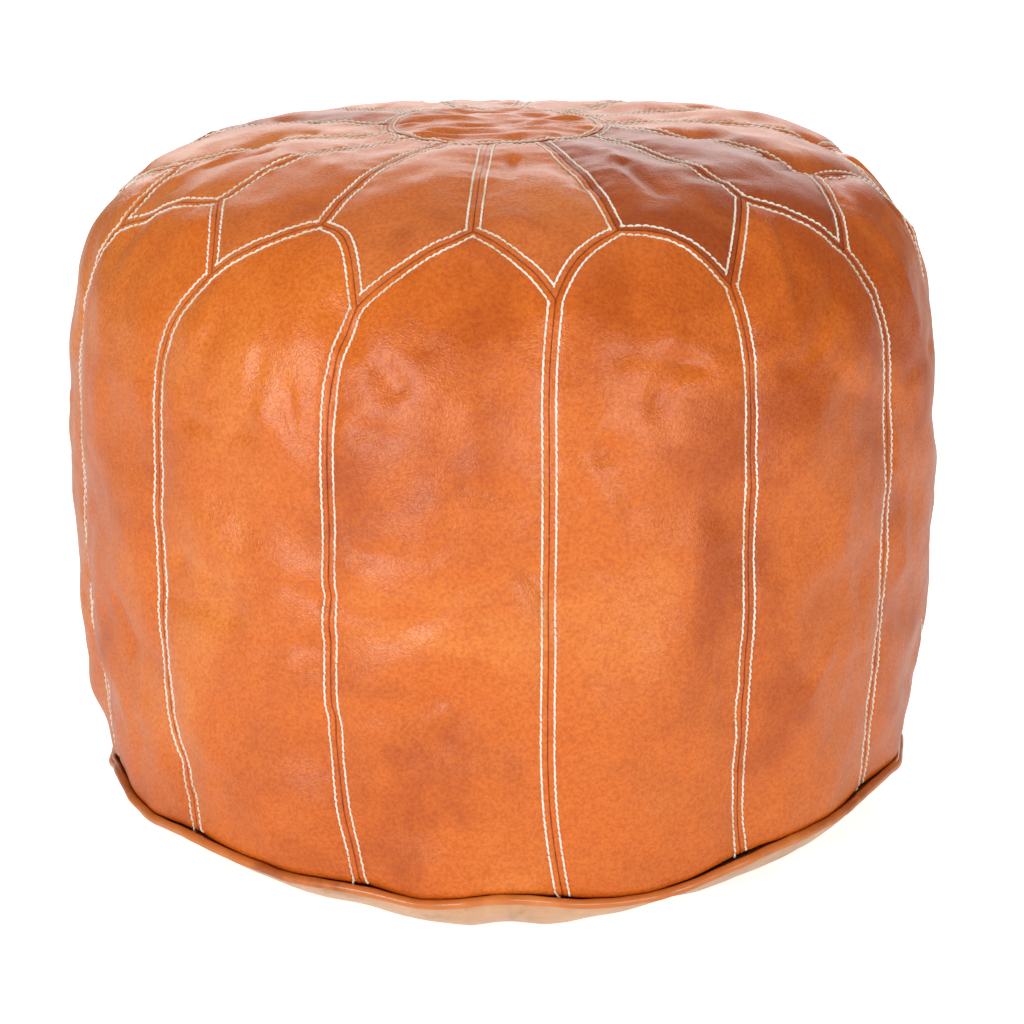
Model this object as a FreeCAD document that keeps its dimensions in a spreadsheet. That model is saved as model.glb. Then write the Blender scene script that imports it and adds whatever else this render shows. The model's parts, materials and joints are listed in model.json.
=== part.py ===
"""Round stuffed leather pouf, in millimetres: +Z is up, the floor is Z = 0 under the middle, and the front is -Y.

The cover is sewn from flat hides: tall arched side panels, pointed crown wedges between their arches,
a round disc in the middle of the crown, and a split-leather base in two halves with a zip between them.
A welt of folded leather round a cotton cord runs in the seam between the side panels and the base.
The zip lies in a valley of the base, clear of the floor, with a slider that runs along it and a pull on the slider.
"""

import FreeCAD, Part
import math
import os
import re

import Sketcher
from FreeCAD import Placement, Rotation, Vector

DIMENSIONS = {
    # the cover
    "panel_count": 14,
    "first_seam": 5.5,  # degrees from the front to the first side seam
    "leather": 1.8,
    "seam_gap": 0.4,
    "widest_radius": 250,
    "waist_height": 183,
    "base_radius": 235,
    "shoulder_height": 289,
    "shoulder_radius": 85,
    "crown_angle": 78,  # how far the shoulder turns before the flatter crown takes over
    "disc_radius": 61,
    "tip_angle": 43,  # where on the shoulder the wedges end in a point
    "apex_angle": 73,  # where on the shoulder the arches end in a point
    "arch_radius": 80,
    "seam_allowance": 10,
    # the welt
    "welt_height": 24,
    "welt_ring_radius": 238.4,
    "welt_radius": 3,
    "welt_leather": 0.9,
    "cord_radius": 2,
    # the base
    "split_leather": 1.6,
    "base_roll": 20,
    "valley_half": 24,
    "valley_top_half": 14,
    "valley_rise": 9,
    "window_half": 7,
    "patch_start": 197,
    # the zip
    "zip_turn": -50,
    "tape_edge": 3.1,
    "tape_width": 14,
    "tape_thickness": 0.6,
    "tape_height": 10.7,
    "tape_length": 400,
    "tooth_pitch": 3.2,
    "tooth_width": 1.3,
    "tooth_reach": 0.9,
    "tooth_height": 2.4,
    "tooth_count": 116,
    "chain_start": -182,
    "slider_rest": -180,
    "slider_length": 12,
    "slider_half_width": 5.5,
    "slider_plate": 1.1,
    "slider_inside": 3,
    "bridge_reach": 3.2,
    "bridge_bar": 1.2,
    "bridge_half_length": 4,
    "bridge_half_width": 1.2,
    "pull_length": 32,
    "pull_half_width": 4,
    "pull_thickness": 1.2,
    "pull_window_half": 1.7,
    "pull_window_length": 6.5,
    # the filling
    "filling_clearance": 0.6,
}

SHOULDER_CENTRE = "(widest_radius - shoulder_radius)"
CROWN_RADIUS = f"({SHOULDER_CENTRE} / cos(crown_angle) + shoulder_radius)"
CROWN_CENTRE_HEIGHT = f"(shoulder_height - {SHOULDER_CENTRE} * tan(crown_angle))"
PANEL_ANGLE = "(360 / panel_count)"
PANEL_EDGE_HEIGHT = "(welt_height + welt_leather + 0.2)"
SIDE_RADIUS = (
    f"(((waist_height - {PANEL_EDGE_HEIGHT})^2 + (widest_radius - base_radius)^2)"
    " / (2 * (widest_radius - base_radius)))"
)
ARCH_TILT = "((tip_angle + apex_angle) / 2)"
CHAIN_HEIGHT = "(tape_height + tape_thickness / 2)"

doc = FreeCAD.newDocument("pouf")
sheet = doc.addObject("Spreadsheet::Sheet", "dims")
for row, (alias, value) in enumerate(DIMENSIONS.items(), 1):
    sheet.set(f"A{row}", alias)
    sheet.set(f"B{row}", str(value))
    sheet.setAlias(f"B{row}", alias)
doc.recompute()


def bound(text):
    """The expression with each alias written as a cell of the sheet."""
    return re.sub(r"[a-z_]+", lambda word: f"dims.{word[0]}" if word[0] in DIMENSIONS else word[0], text)


def worth(text):
    """What an expression comes to now."""
    return float(sheet.evalExpression(bound(text)))


def bind(thing, **expressions):
    for name, text in expressions.items():
        thing.setExpression(name, bound(text))


def plane_of(body, role):
    return next(feature for feature in body.Origin.OriginFeatures if feature.Role == role)


def new_body(label):
    body = doc.addObject("PartDesign::Body", label)
    body.Label = label
    return body


def arc_between(start, end, radius, long_way):
    """The arc that turns left from start to end if radius is above 0, and right if it is below."""
    if radius < 0:
        start, end = end, start
    chord = end - start
    size = abs(radius)
    rise = math.sqrt(max(size**2 - (chord.Length / 2) ** 2, 0))
    left = Vector(-chord.y, chord.x, 0).normalize()
    centre = (start + end) / 2 + left * (-rise if long_way else rise)
    first = math.atan2(start.y - centre.y, start.x - centre.x)
    last = math.atan2(end.y - centre.y, end.x - centre.x)
    if last <= first:
        last += 2 * math.pi
    return Part.ArcOfCircle(Part.Circle(centre, Vector(0, 0, 1), size), first, last)


def outline(body, name, corners, role="XZ_Plane", offset=None, lift=None):
    """A closed sketch. A corner is (x, y), or (x, y, radius[, "long"]) where an arc leaves it.

    The sketch lies on an origin plane, moved by an offset, or lifted by an expression.
    """
    sketch = body.newObject("Sketcher::SketchObject", f"{name}_outline")
    sketch.AttachmentSupport = (plane_of(body, role), "")
    sketch.MapMode = "FlatFace"
    if offset:
        sketch.AttachmentOffset = offset
    if lift:
        bind(sketch, **{"AttachmentOffset.Base.z": lift})
    points = [Vector(worth(corner[0]), worth(corner[1]), 0) for corner in corners]
    starts = []
    ends = []
    for index, corner in enumerate(corners):
        start, end = points[index], points[(index + 1) % len(points)]
        if len(corner) == 2:
            sketch.addGeometry(Part.LineSegment(start, end))
            turns_right = False
        else:
            radius = worth(corner[2])
            sketch.addGeometry(arc_between(start, end, radius, len(corner) == 4))
            turns_right = radius < 0
        starts.append(2 if turns_right else 1)
        ends.append(1 if turns_right else 2)
    for index, corner in enumerate(corners):
        before = index - 1 if index else len(corners) - 1
        sketch.addConstraint(Sketcher.Constraint("Coincident", before, ends[before], index, starts[index]))
    for index, corner in enumerate(corners):
        if len(corner) > 2:
            number = sketch.addConstraint(Sketcher.Constraint("Radius", index, abs(worth(corner[2]))))
            bind(sketch, **{f"Constraints[{number}]": f"abs({corner[2]})"})
        for axis, text, value in (("X", corner[0], points[index].x), ("Y", corner[1], points[index].y)):
            number = sketch.addConstraint(Sketcher.Constraint(f"Distance{axis}", index, starts[index], value))
            bind(sketch, **{f"Constraints[{number}]": text})
    return sketch


def revolve(body, sketch, angle="360", midplane=False, kind="Revolution"):
    feature = body.newObject(f"PartDesign::{kind}", f"{sketch.Name}_{kind}")
    feature.Profile = sketch
    feature.ReferenceAxis = (sketch, ["V_Axis"])
    feature.Midplane = midplane
    bind(feature, Angle=angle)
    body.Tip = feature
    return feature


def extrude(body, sketch, length, kind="Pad"):
    """Pads or cuts by the whole length, half to each side of the sketch."""
    feature = body.newObject(f"PartDesign::{kind}", f"{sketch.Name}_{kind}")
    feature.Profile = sketch
    feature.Midplane = True
    bind(feature, Length=length)
    body.Tip = feature
    return feature


def turn_to(body, angle, along="0"):
    """Turns a body about +Z by an angle from +X, and moves it along that direction."""
    body.Placement = Placement(Vector(), Rotation(Vector(0, 0, 1), 1))
    bind(body, **{
        "Placement.Rotation.Angle": angle,
        "Placement.Base.x": f"({along}) * cos({angle})",
        "Placement.Base.y": f"({along}) * sin({angle})",
    })


def seam_turn(steps):
    """The angle from +X to a place that is a number of panels past the first side seam."""
    return f"first_seam - 90 + {steps} * {PANEL_ANGLE}"


def sector(gap="seam_gap"):
    """One panel's share of the circle, less the seam."""
    return f"{PANEL_ANGLE} - {gap} / widest_radius * 180 / pi"


# The cover's section: the shoulder is an arc about one centre, and the crown is a flatter arc tangent to it.


def on_shoulder(angle, depth="0"):
    """A point of the shoulder at an angle above the horizontal, a depth inside the cover."""
    reach = f"(shoulder_radius - {depth})"
    return f"{SHOULDER_CENTRE} + {reach} * cos({angle})", f"shoulder_height + {reach} * sin({angle})"


def on_crown(radius, depth="0"):
    return radius, f"{CROWN_CENTRE_HEIGHT} + sqrt(({CROWN_RADIUS} - {depth})^2 - ({radius})^2)"


def on_side(height, depth="0"):
    return (
        f"widest_radius - {SIDE_RADIUS} + sqrt(({SIDE_RADIUS} - {depth})^2 - (waist_height - ({height}))^2)",
        height,
    )


# The arches are drawn on a plane that leans back against the shoulder, half way up the arch.


def arch_plane(turn="0"):
    """The place of that plane, turned about +Z from the middle of a side panel, in the YZ plane's own axes."""
    across, up = on_shoulder(ARCH_TILT)
    lean = Placement(Vector(0, worth(up), worth(across)), Rotation(Vector(1, 0, 0), -worth(ARCH_TILT)))
    return Placement(Vector(), Rotation(Vector(0, 1, 0), worth(turn))) * lean


def arch_points(gap="0"):
    """Half width and height of the arch's foot, and the height of its point, on that plane."""
    across, up = on_shoulder(ARCH_TILT)
    tip_across, tip_up = on_shoulder("tip_angle")
    half = f"({tip_across}) * sin({PANEL_ANGLE} / 2)"
    foot = (
        f"(({across}) - ({tip_across}) * cos({PANEL_ANGLE} / 2)) * sin({ARCH_TILT})"
        f" + (({tip_up}) - ({up})) * cos({ARCH_TILT}) + {gap}"
    )
    point = f"shoulder_radius * sin(apex_angle - {ARCH_TILT}) + {gap}"
    return half, foot, point


CUT_MARGIN = "20"
CUT_DEPTH = "60"


def side_panel(number):
    """A tall panel with an arched head, and an allowance turned in at its foot along the welt."""
    body = new_body(f"side_panel_{number:02d}")
    edge = PANEL_EDGE_HEIGHT
    head = "apex_angle + 2"
    profile = outline(body, f"panel_{number:02d}_skin", [
        ("base_radius", edge, SIDE_RADIUS),
        ("widest_radius", "waist_height"),
        ("widest_radius", "shoulder_height", "shoulder_radius"),
        (*on_shoulder(head),),
        (*on_shoulder(head, "leather"), "-(shoulder_radius - leather)"),
        ("widest_radius - leather", "shoulder_height"),
        ("widest_radius - leather", "waist_height", f"-({SIDE_RADIUS} - leather)"),
        (*on_side(f"{edge} + leather", "leather"),),
        ("base_radius - seam_allowance", f"{edge} + leather"),
        ("base_radius - seam_allowance", edge),
    ])
    revolve(body, profile, sector(), midplane=True)
    half, foot, point = arch_points()
    cut = outline(body, f"panel_{number:02d}_arch", [
        (f"-({half})", foot, "-arch_radius"),
        ("0", point, "-arch_radius"),
        (half, foot),
        (f"{half} + {CUT_MARGIN}", foot),
        (f"{half} + {CUT_MARGIN}", f"{point} + {CUT_MARGIN}"),
        (f"-({half}) - {CUT_MARGIN}", f"{point} + {CUT_MARGIN}"),
        (f"-({half}) - {CUT_MARGIN}", foot),
    ], role="YZ_Plane", offset=arch_plane())
    extrude(body, cut, CUT_DEPTH, kind="Pocket")
    turn_to(body, seam_turn(number - 0.5))
    return body


def crown_wedge(number):
    """A wedge of the crown, from the disc to the point between two arches."""
    body = new_body(f"crown_wedge_{number:02d}")
    foot_angle = "tip_angle - 2"
    edge = "disc_radius + seam_gap"
    profile = outline(body, f"wedge_{number:02d}_skin", [
        (*on_shoulder(foot_angle), "shoulder_radius"),
        (*on_shoulder("crown_angle"), CROWN_RADIUS),
        (*on_crown(edge),),
        (*on_crown(edge, "leather"), f"-({CROWN_RADIUS} - leather)"),
        (*on_shoulder("crown_angle", "leather"), "-(shoulder_radius - leather)"),
        (*on_shoulder(foot_angle, "leather"),),
    ])
    revolve(body, profile, sector(), midplane=True)
    half, foot, point = arch_points("seam_gap")
    low = f"{foot} - {CUT_MARGIN}"
    for side, sign in (("left", "-"), ("right", "")):
        cut = outline(body, f"wedge_{number:02d}_{side}_arch", [
            (f"-({half})", foot, "-arch_radius"),
            ("0", point, "-arch_radius"),
            (half, foot),
            (f"{half} + {CUT_MARGIN}", foot),
            (f"{half} + {CUT_MARGIN}", low),
            (f"-({half}) - {CUT_MARGIN}", low),
            (f"-({half}) - {CUT_MARGIN}", foot),
        ], role="YZ_Plane", offset=arch_plane(f"{sign}{PANEL_ANGLE} / 2"))
        extrude(body, cut, CUT_DEPTH, kind="Pocket")
    turn_to(body, seam_turn(number - 1))
    return body


def top_disc():
    """The round panel in the middle of the crown."""
    body = new_body("top_disc")
    profile = outline(body, "disc_skin", [
        (*on_crown("disc_radius"), CROWN_RADIUS),
        (*on_crown("0"),),
        (*on_crown("0", "leather"), f"-({CROWN_RADIUS} - leather)"),
        (*on_crown("disc_radius", "leather"),),
    ])
    revolve(body, profile)
    return body


def welt_cover():
    """A leather strip folded round the cord, with both its edges laid into the seam."""
    body = new_body("welt_cover")
    inside = "(welt_radius - welt_leather)"
    slit = "0.1"
    tail = "base_radius - seam_allowance"
    layer = "welt_leather"
    outer_start = f"welt_ring_radius - sqrt(welt_radius^2 - {layer}^2)"
    inner_start = f"welt_ring_radius - sqrt({inside}^2 - {slit}^2)"
    profile = outline(body, "welt_strip", [
        (tail, f"welt_height - {layer}"),
        (outer_start, f"welt_height - {layer}", "welt_radius", "long"),
        (outer_start, f"welt_height + {layer}"),
        (tail, f"welt_height + {layer}"),
        (tail, f"welt_height + {slit}"),
        (inner_start, f"welt_height + {slit}", f"-{inside}", "long"),
        (inner_start, f"welt_height - {slit}"),
        (tail, f"welt_height - {slit}"),
    ])
    revolve(body, profile)
    return body


def welt_cord():
    """The cotton cord inside the welt."""
    ring = doc.addObject("Part::Torus", "welt_cord")
    ring.Label = "welt_cord"
    bind(ring, Radius1="welt_ring_radius", Radius2="cord_radius")
    bind(ring, **{"Placement.Base.z": "welt_height"})
    return ring


VALLEY_REACH = "480"


def base_half(label, turn):
    """Half of the base: a shallow pan whose straight edge rises out of the floor plane to the zip."""
    body = new_body(label)
    skin = "split_leather"
    seat = "(welt_height - welt_leather - 0.2)"
    bend = "(base_radius - base_roll)"
    pan = outline(body, f"{label}_pan", [
        ("0", "0"),
        (bend, "0", "base_roll"),
        ("base_radius", "base_roll"),
        ("base_radius", seat),
        ("base_radius - seam_allowance", seat),
        ("base_radius - seam_allowance", f"{seat} - {skin}"),
        (f"base_radius - {skin}", f"{seat} - {skin}"),
        (f"base_radius - {skin}", "base_roll", f"-(base_roll - {skin})"),
        (bend, skin),
        ("0", skin),
    ])
    revolve(body, pan, "180")
    channel = outline(body, f"{label}_channel", [
        ("seam_gap / 2", f"{seat} + 5"),
        ("seam_gap / 2", "valley_rise"),
        ("valley_half", "valley_rise"),
        ("valley_half", "-5"),
        ("-5", "-5"),
        ("-5", f"{seat} + 5"),
    ], role="YZ_Plane")
    extrude(body, channel, VALLEY_REACH, kind="Pocket")
    lip = outline(body, f"{label}_lip", [
        ("valley_half", "0"),
        ("valley_half", skin),
        (f"valley_top_half + {skin} / 2", f"valley_rise + {skin}"),
        ("window_half", f"valley_rise + {skin}"),
        ("window_half", "valley_rise"),
        ("valley_top_half", "valley_rise"),
        (f"valley_half - {skin} / 2", "0"),
    ], role="YZ_Plane")
    extrude(body, lip, VALLEY_REACH)
    for end, sign in (("near", ""), ("far", "-")):
        patch = outline(body, f"{label}_{end}_patch", [
            (f"{sign}patch_start", "seam_gap / 2"),
            (f"{sign}base_radius", "seam_gap / 2"),
            (f"{sign}base_radius", "window_half + 1"),
            (f"{sign}patch_start", "window_half + 1"),
        ], role="XY_Plane", lift=f"valley_rise + {skin} / 2")
        extrude(body, patch, skin)
    trim = outline(body, f"{label}_trim", [
        (bend, "0", "base_roll"),
        ("base_radius", "base_roll"),
        ("base_radius", f"{seat} + 5"),
        ("base_radius + 20", f"{seat} + 5"),
        ("base_radius + 20", "-5"),
        (bend, "-5"),
    ])
    revolve(body, trim, kind="Groove")
    turn_to(body, turn)
    return body


def zip_tape(label, turn):
    """One woven tape of the zip, laid on the inside of the base along its straight edge."""
    body = new_body(label)
    section = outline(body, f"{label}_section", [
        ("tape_edge", "tape_height"),
        ("tape_edge + tape_width", "tape_height"),
        ("tape_edge + tape_width", "tape_height + tape_thickness"),
        ("tape_edge", "tape_height + tape_thickness"),
    ], role="YZ_Plane")
    extrude(body, section, "tape_length")
    turn_to(body, turn)
    return body


def zip_teeth(label, turn, shift):
    """One side's row of teeth, each a separate solid, half a pitch out of step with the other side."""
    body = new_body(label)
    first = f"chain_start + {shift}"
    tooth = outline(body, f"{label}_tooth", [
        (first, "-tooth_reach"),
        (f"{first} + tooth_width", "-tooth_reach"),
        (f"{first} + tooth_width", "tape_edge - 0.1"),
        (first, "tape_edge - 0.1"),
    ], role="XY_Plane", lift=CHAIN_HEIGHT)
    pad = extrude(body, tooth, "tooth_height")
    row = body.newObject("PartDesign::LinearPattern", f"{label}_row")
    row.Originals = [pad]
    row.Direction = (plane_of(body, "X_Axis"), [""])
    bind(row, Length="(tooth_count - 1) * tooth_pitch", Occurrences="tooth_count")
    body.Tip = row
    turn_to(body, turn)
    return body


def zip_stops(label, start, length, spans):
    """Metal clamps across the tapes at one end of the chain, one for each span across the zip."""
    body = new_body(label)
    for number, (low, high) in enumerate(spans, 1):
        clamp = outline(body, f"{label}_clamp_{number}", [
            (start, low),
            (f"{start} + {length}", low),
            (f"{start} + {length}", high),
            (start, high),
        ], role="XY_Plane", lift=CHAIN_HEIGHT)
        extrude(body, clamp, "tooth_height")
    turn_to(body, "zip_turn")
    return body


def zip_slider():
    """Two plates joined by a wedge at the closing end, with a bridge under them that holds the pull."""
    body = new_body("zip_slider")
    half = "slider_half_width"
    long_half = "slider_length / 2"
    inside = "slider_inside / 2"
    rim = "0.9"
    rim_top = "0.6"
    for side, sign in (("lower", "-"), ("upper", "")):
        plate = outline(body, f"slider_{side}", [
            (f"-{half}", f"{sign}({inside} + slider_plate)"),
            (half, f"{sign}({inside} + slider_plate)"),
            (half, f"{sign}{rim_top}"),
            (f"{half} - {rim}", f"{sign}{rim_top}"),
            (f"{half} - {rim}", f"{sign}{inside}"),
            (f"-({half} - {rim})", f"{sign}{inside}"),
            (f"-({half} - {rim})", f"{sign}{rim_top}"),
            (f"-{half}", f"{sign}{rim_top}"),
        ], role="YZ_Plane")
        extrude(body, plate, "slider_length")
    wedge = outline(body, "slider_wedge", [
        (f"-{long_half} + 0.4", "-0.8"),
        (f"-{long_half} + 2.4", "0"),
        (f"-{long_half} + 0.4", "0.8"),
    ], role="XY_Plane")
    extrude(body, wedge, f"2 * ({inside} + slider_plate / 2)")
    under = f"-({inside} + slider_plate)"
    bridge = outline(body, "slider_bridge", [
        ("-bridge_half_length", f"{under} + 0.2"),
        ("-bridge_half_length", f"{under} - bridge_reach"),
        ("bridge_half_length", f"{under} - bridge_reach"),
        ("bridge_half_length", f"{under} + 0.2"),
        ("bridge_half_length - bridge_bar", f"{under} + 0.2"),
        ("bridge_half_length - bridge_bar", f"{under} - bridge_reach + bridge_bar"),
        ("bridge_bar - bridge_half_length", f"{under} - bridge_reach + bridge_bar"),
        ("bridge_bar - bridge_half_length", f"{under} + 0.2"),
    ])
    extrude(body, bridge, "2 * bridge_half_width")
    turn_to(body, "zip_turn", "slider_rest")
    bind(body, **{"Placement.Base.z": CHAIN_HEIGHT})
    return body


PULL_PIN_HEIGHT = f"({CHAIN_HEIGHT} - slider_inside / 2 - slider_plate - 1.1)"


def zip_pull():
    """A flat tab with a window at one end, whose end bar passes through the slider's bridge."""
    body = new_body("zip_pull")
    bar = "pull_thickness / 2"
    tab = outline(body, "pull_tab", [
        (f"-{bar}", "-pull_half_width + 1"),
        ("pull_length - 3", "-pull_half_width", "3"),
        ("pull_length", "-pull_half_width + 3"),
        ("pull_length", "pull_half_width - 3", "3"),
        ("pull_length - 3", "pull_half_width"),
        (f"-{bar}", "pull_half_width - 1"),
    ], role="XY_Plane")
    extrude(body, tab, "pull_thickness")
    window = outline(body, "pull_window", [
        (bar, "-pull_window_half"),
        ("pull_window_length", "-pull_window_half"),
        ("pull_window_length", "pull_window_half"),
        (bar, "pull_window_half"),
    ], role="XY_Plane")
    extrude(body, window, "4 * pull_thickness", kind="Pocket")
    turn_to(body, "zip_turn", "slider_rest")
    bind(body, **{"Placement.Base.z": PULL_PIN_HEIGHT})
    return body


def filling():
    """The packed wadding, which fills the cover and leaves a channel over the zip."""
    body = new_body("filling")
    gap = "(leather + filling_clearance)"
    floor = "split_leather + filling_clearance"
    inner = "base_radius - seam_allowance - filling_clearance"
    ledge = f"{PANEL_EDGE_HEIGHT} + {gap}"
    profile = outline(body, "filling_section", [
        ("0", floor),
        (f"{inner} - 6", floor, "6"),
        (inner, f"{floor} + 6"),
        (inner, ledge),
        (*on_side(ledge, gap), f"{SIDE_RADIUS} - {gap}"),
        (f"widest_radius - {gap}", "waist_height"),
        (f"widest_radius - {gap}", "shoulder_height", f"shoulder_radius - {gap}"),
        (*on_shoulder("crown_angle", gap), f"{CROWN_RADIUS} - {gap}"),
        (*on_crown("0", gap),),
    ])
    revolve(body, profile)
    channel = outline(body, "filling_channel", [
        ("-valley_half - 2", "-5"),
        ("valley_half + 2", "-5"),
        ("valley_half + 2", "valley_rise + 7"),
        ("-valley_half - 2", "valley_rise + 7"),
    ], role="YZ_Plane")
    extrude(body, channel, VALLEY_REACH, kind="Pocket")
    turn_to(body, "zip_turn")
    return body


pieces = [top_disc(), welt_cover(), welt_cord(), filling(), zip_slider(), zip_pull()]
pieces += [side_panel(number) for number in range(1, DIMENSIONS["panel_count"] + 1)]
pieces += [crown_wedge(number) for number in range(1, DIMENSIONS["panel_count"] + 1)]
for side, turn, shift in (("left", "zip_turn", "0"), ("right", "zip_turn + 180", "tooth_pitch / 2")):
    pieces.append(base_half(f"base_half_{side}", turn))
    pieces.append(zip_tape(f"zip_tape_{side}", turn))
pieces.append(zip_teeth("zip_teeth_left", "zip_turn", "0"))
pieces.append(zip_teeth("zip_teeth_right", "zip_turn", "tooth_pitch / 2"))
clamp_edge = "(tape_edge - 0.1)"
pieces.append(zip_stops("zip_top_stops", "chain_start - 8", "3", [("1", clamp_edge), (f"-{clamp_edge}", "-1")]))
chain_end = "(chain_start + tooth_count * tooth_pitch)"
pieces.append(zip_stops("zip_bottom_stop", f"{chain_end} + 1", "5", [(f"-{clamp_edge}", clamp_edge)]))

doc.recompute()
for item in doc.Objects:
    if {"Invalid", "Error"} & set(item.State):
        raise RuntimeError(f"{item.Label} failed: {item.State}")
for piece in pieces:
    if piece.Shape.isNull() or not piece.Shape.isValid():
        raise RuntimeError(f"{piece.Label} has no valid shape")

os.makedirs("parts", exist_ok=True)
for piece in pieces:
    piece.Shape.exportStep(f"parts/{piece.Label}.step")
    print(f"{piece.Label}: {len(piece.Shape.Solids)} solids, {piece.Shape.Volume / 1000:.2f} cm3")
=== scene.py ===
import json
import math

import bmesh
import bpy
import numpy as np
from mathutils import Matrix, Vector
from mathutils.bvhtree import BVHTree
from mathutils.kdtree import KDTree


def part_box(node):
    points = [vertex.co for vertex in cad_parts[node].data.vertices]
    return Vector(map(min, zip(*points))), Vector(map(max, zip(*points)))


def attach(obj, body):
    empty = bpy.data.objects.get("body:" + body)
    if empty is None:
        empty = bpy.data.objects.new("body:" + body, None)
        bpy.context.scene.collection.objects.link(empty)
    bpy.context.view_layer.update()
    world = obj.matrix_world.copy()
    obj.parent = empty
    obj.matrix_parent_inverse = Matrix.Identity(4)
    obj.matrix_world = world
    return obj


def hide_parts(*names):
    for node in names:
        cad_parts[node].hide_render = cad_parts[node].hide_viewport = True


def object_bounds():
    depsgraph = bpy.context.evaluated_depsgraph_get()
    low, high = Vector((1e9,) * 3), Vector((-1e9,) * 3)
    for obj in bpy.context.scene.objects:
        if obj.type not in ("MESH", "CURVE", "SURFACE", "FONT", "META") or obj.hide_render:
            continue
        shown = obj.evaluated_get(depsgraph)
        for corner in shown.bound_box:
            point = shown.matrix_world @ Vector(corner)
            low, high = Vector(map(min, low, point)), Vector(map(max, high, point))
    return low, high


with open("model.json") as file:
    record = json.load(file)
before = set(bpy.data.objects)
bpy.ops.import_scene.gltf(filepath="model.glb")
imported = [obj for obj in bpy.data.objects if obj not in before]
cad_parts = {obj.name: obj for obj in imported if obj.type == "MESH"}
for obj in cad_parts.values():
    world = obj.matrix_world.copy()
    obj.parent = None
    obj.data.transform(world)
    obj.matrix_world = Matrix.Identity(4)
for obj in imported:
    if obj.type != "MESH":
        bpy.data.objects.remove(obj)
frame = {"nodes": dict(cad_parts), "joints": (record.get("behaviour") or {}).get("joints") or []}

cad_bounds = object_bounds()

# ------------------------------------------------------------------ the stuffed form
# Packed wadding fills the sewn cover to a squat barrel, fullest above its middle, with a
# broad crown that is almost flat. Every leather piece lies on this form. A place on it is a
# bearing round from the front and a reach, the way up over the leather from the barrel's foot.

PANEL_COUNT = 14
PANEL_SPAN = 2 * math.pi / PANEL_COUNT
FIRST_SEAM = math.radians(5.5)
WIDEST = cad_bounds[1].x
FOOT_HEIGHT = 0.008
FOOT_RADIUS = 0.2335
WAIST_HEIGHT = 0.183
CROWN_HEIGHT = cad_bounds[1].z + 0.0005
CROWN_SQUARENESS = 4.2


def form_section():
    """Radius, height and reach of points from the foot of the side to the middle of the crown."""
    side_height = np.linspace(FOOT_HEIGHT, WAIST_HEIGHT, 300, endpoint=False)
    swell = WIDEST - FOOT_RADIUS
    side_radius = ((WAIST_HEIGHT - FOOT_HEIGHT) ** 2 + swell**2) / (2 * swell)
    side = WIDEST - side_radius + np.sqrt(side_radius**2 - (WAIST_HEIGHT - side_height) ** 2)
    turn = np.linspace(0, math.pi / 2, 4000)
    crown = WIDEST * np.sqrt(np.clip(np.cos(turn), 0, 1))
    crown_rise = np.sin(turn) ** (2 / CROWN_SQUARENESS)
    crown_height = WAIST_HEIGHT + (CROWN_HEIGHT - WAIST_HEIGHT) * crown_rise
    radius = np.concatenate((side, crown))
    height = np.concatenate((side_height, crown_height))
    reach = np.concatenate(([0], np.cumsum(np.hypot(np.diff(radius), np.diff(height)))))
    return radius, height, reach


SECTION_RADIUS, SECTION_HEIGHT, SECTION_REACH = form_section()
WAIST_REACH = float(np.interp(WAIST_HEIGHT, SECTION_HEIGHT, SECTION_REACH))


def reach_at_height(height):
    return np.interp(height, SECTION_HEIGHT, SECTION_REACH)


def reach_at_radius(radius):
    """The reach on the crown where the form has that radius."""
    crown = SECTION_REACH >= WAIST_REACH
    return np.interp(-np.asarray(radius), -SECTION_RADIUS[crown], SECTION_REACH[crown])


def around(bearing, radius, height):
    """Points at a bearing from the front, towards +X, a radius and a height."""
    return np.stack((radius * np.sin(bearing), -radius * np.cos(bearing), height + 0 * bearing), -1)


def form_point(bearing, reach):
    radius = np.interp(reach, SECTION_REACH, SECTION_RADIUS)
    height = np.interp(reach, SECTION_REACH, SECTION_HEIGHT)
    return around(bearing, radius, height)


def form_normal(bearing, reach, step=0.004):
    low, high = reach - step, np.minimum(reach + step, SECTION_REACH[-1])
    out = np.interp(high, SECTION_REACH, SECTION_HEIGHT) - np.interp(low, SECTION_REACH, SECTION_HEIGHT)
    up = np.interp(low, SECTION_REACH, SECTION_RADIUS) - np.interp(high, SECTION_REACH, SECTION_RADIUS)
    normal = around(bearing, out, up)
    return normal / np.linalg.norm(normal, axis=-1, keepdims=True)


# ------------------------------------------------------------------ the cut of the cover
# The hides are cut and joined by hand, so the seams wander: the arches lean, their points
# stand at different heights, and the seams of the crown meet the disc unevenly. Seam number 0
# is the first side seam, and arch number 0 is the next one to its right.

TIP_BEARINGS = np.radians([6.5, 30.5, 53.5, 84, 110, 135, 160, 187, 214, 242, 268, 291, 318.5, 341.5])
TIP_REACHES = np.array([338, 339, 345, 349, 342, 339, 341, 344, 340, 344, 348, 346, 339, 332]) / 1000
POINT_BEARINGS = np.radians([17, 42, 70, 98, 123, 147, 173, 200, 228, 256, 284.5, 308.5, 331.5, 355.5])
POINT_REACHES = np.array([380, 394, 399, 393, 387, 383, 389, 383, 391, 401, 393, 385, 382, 381]) / 1000
DISC_BEARINGS = np.radians([18.5, 51, 83, 99, 120.5, 140.5, 173, 202.5, 234, 268, 295, 312.5, 332.5, 353])
LEFT_ROUNDNESS = [0.5, 0.2, 0.2, 0.4, 0.5, 0.3, 0.5, 0.6, 0.3, 0.5, 0.4, 0.3, 0.15, 0.2]
RIGHT_ROUNDNESS = [0.7, 0.3, 0.5, 0.5, 0.4, 0.6, 0.3, 0.5, 0.6, 0.3, 0.5, 0.35, 0.75, 0.35]
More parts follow.
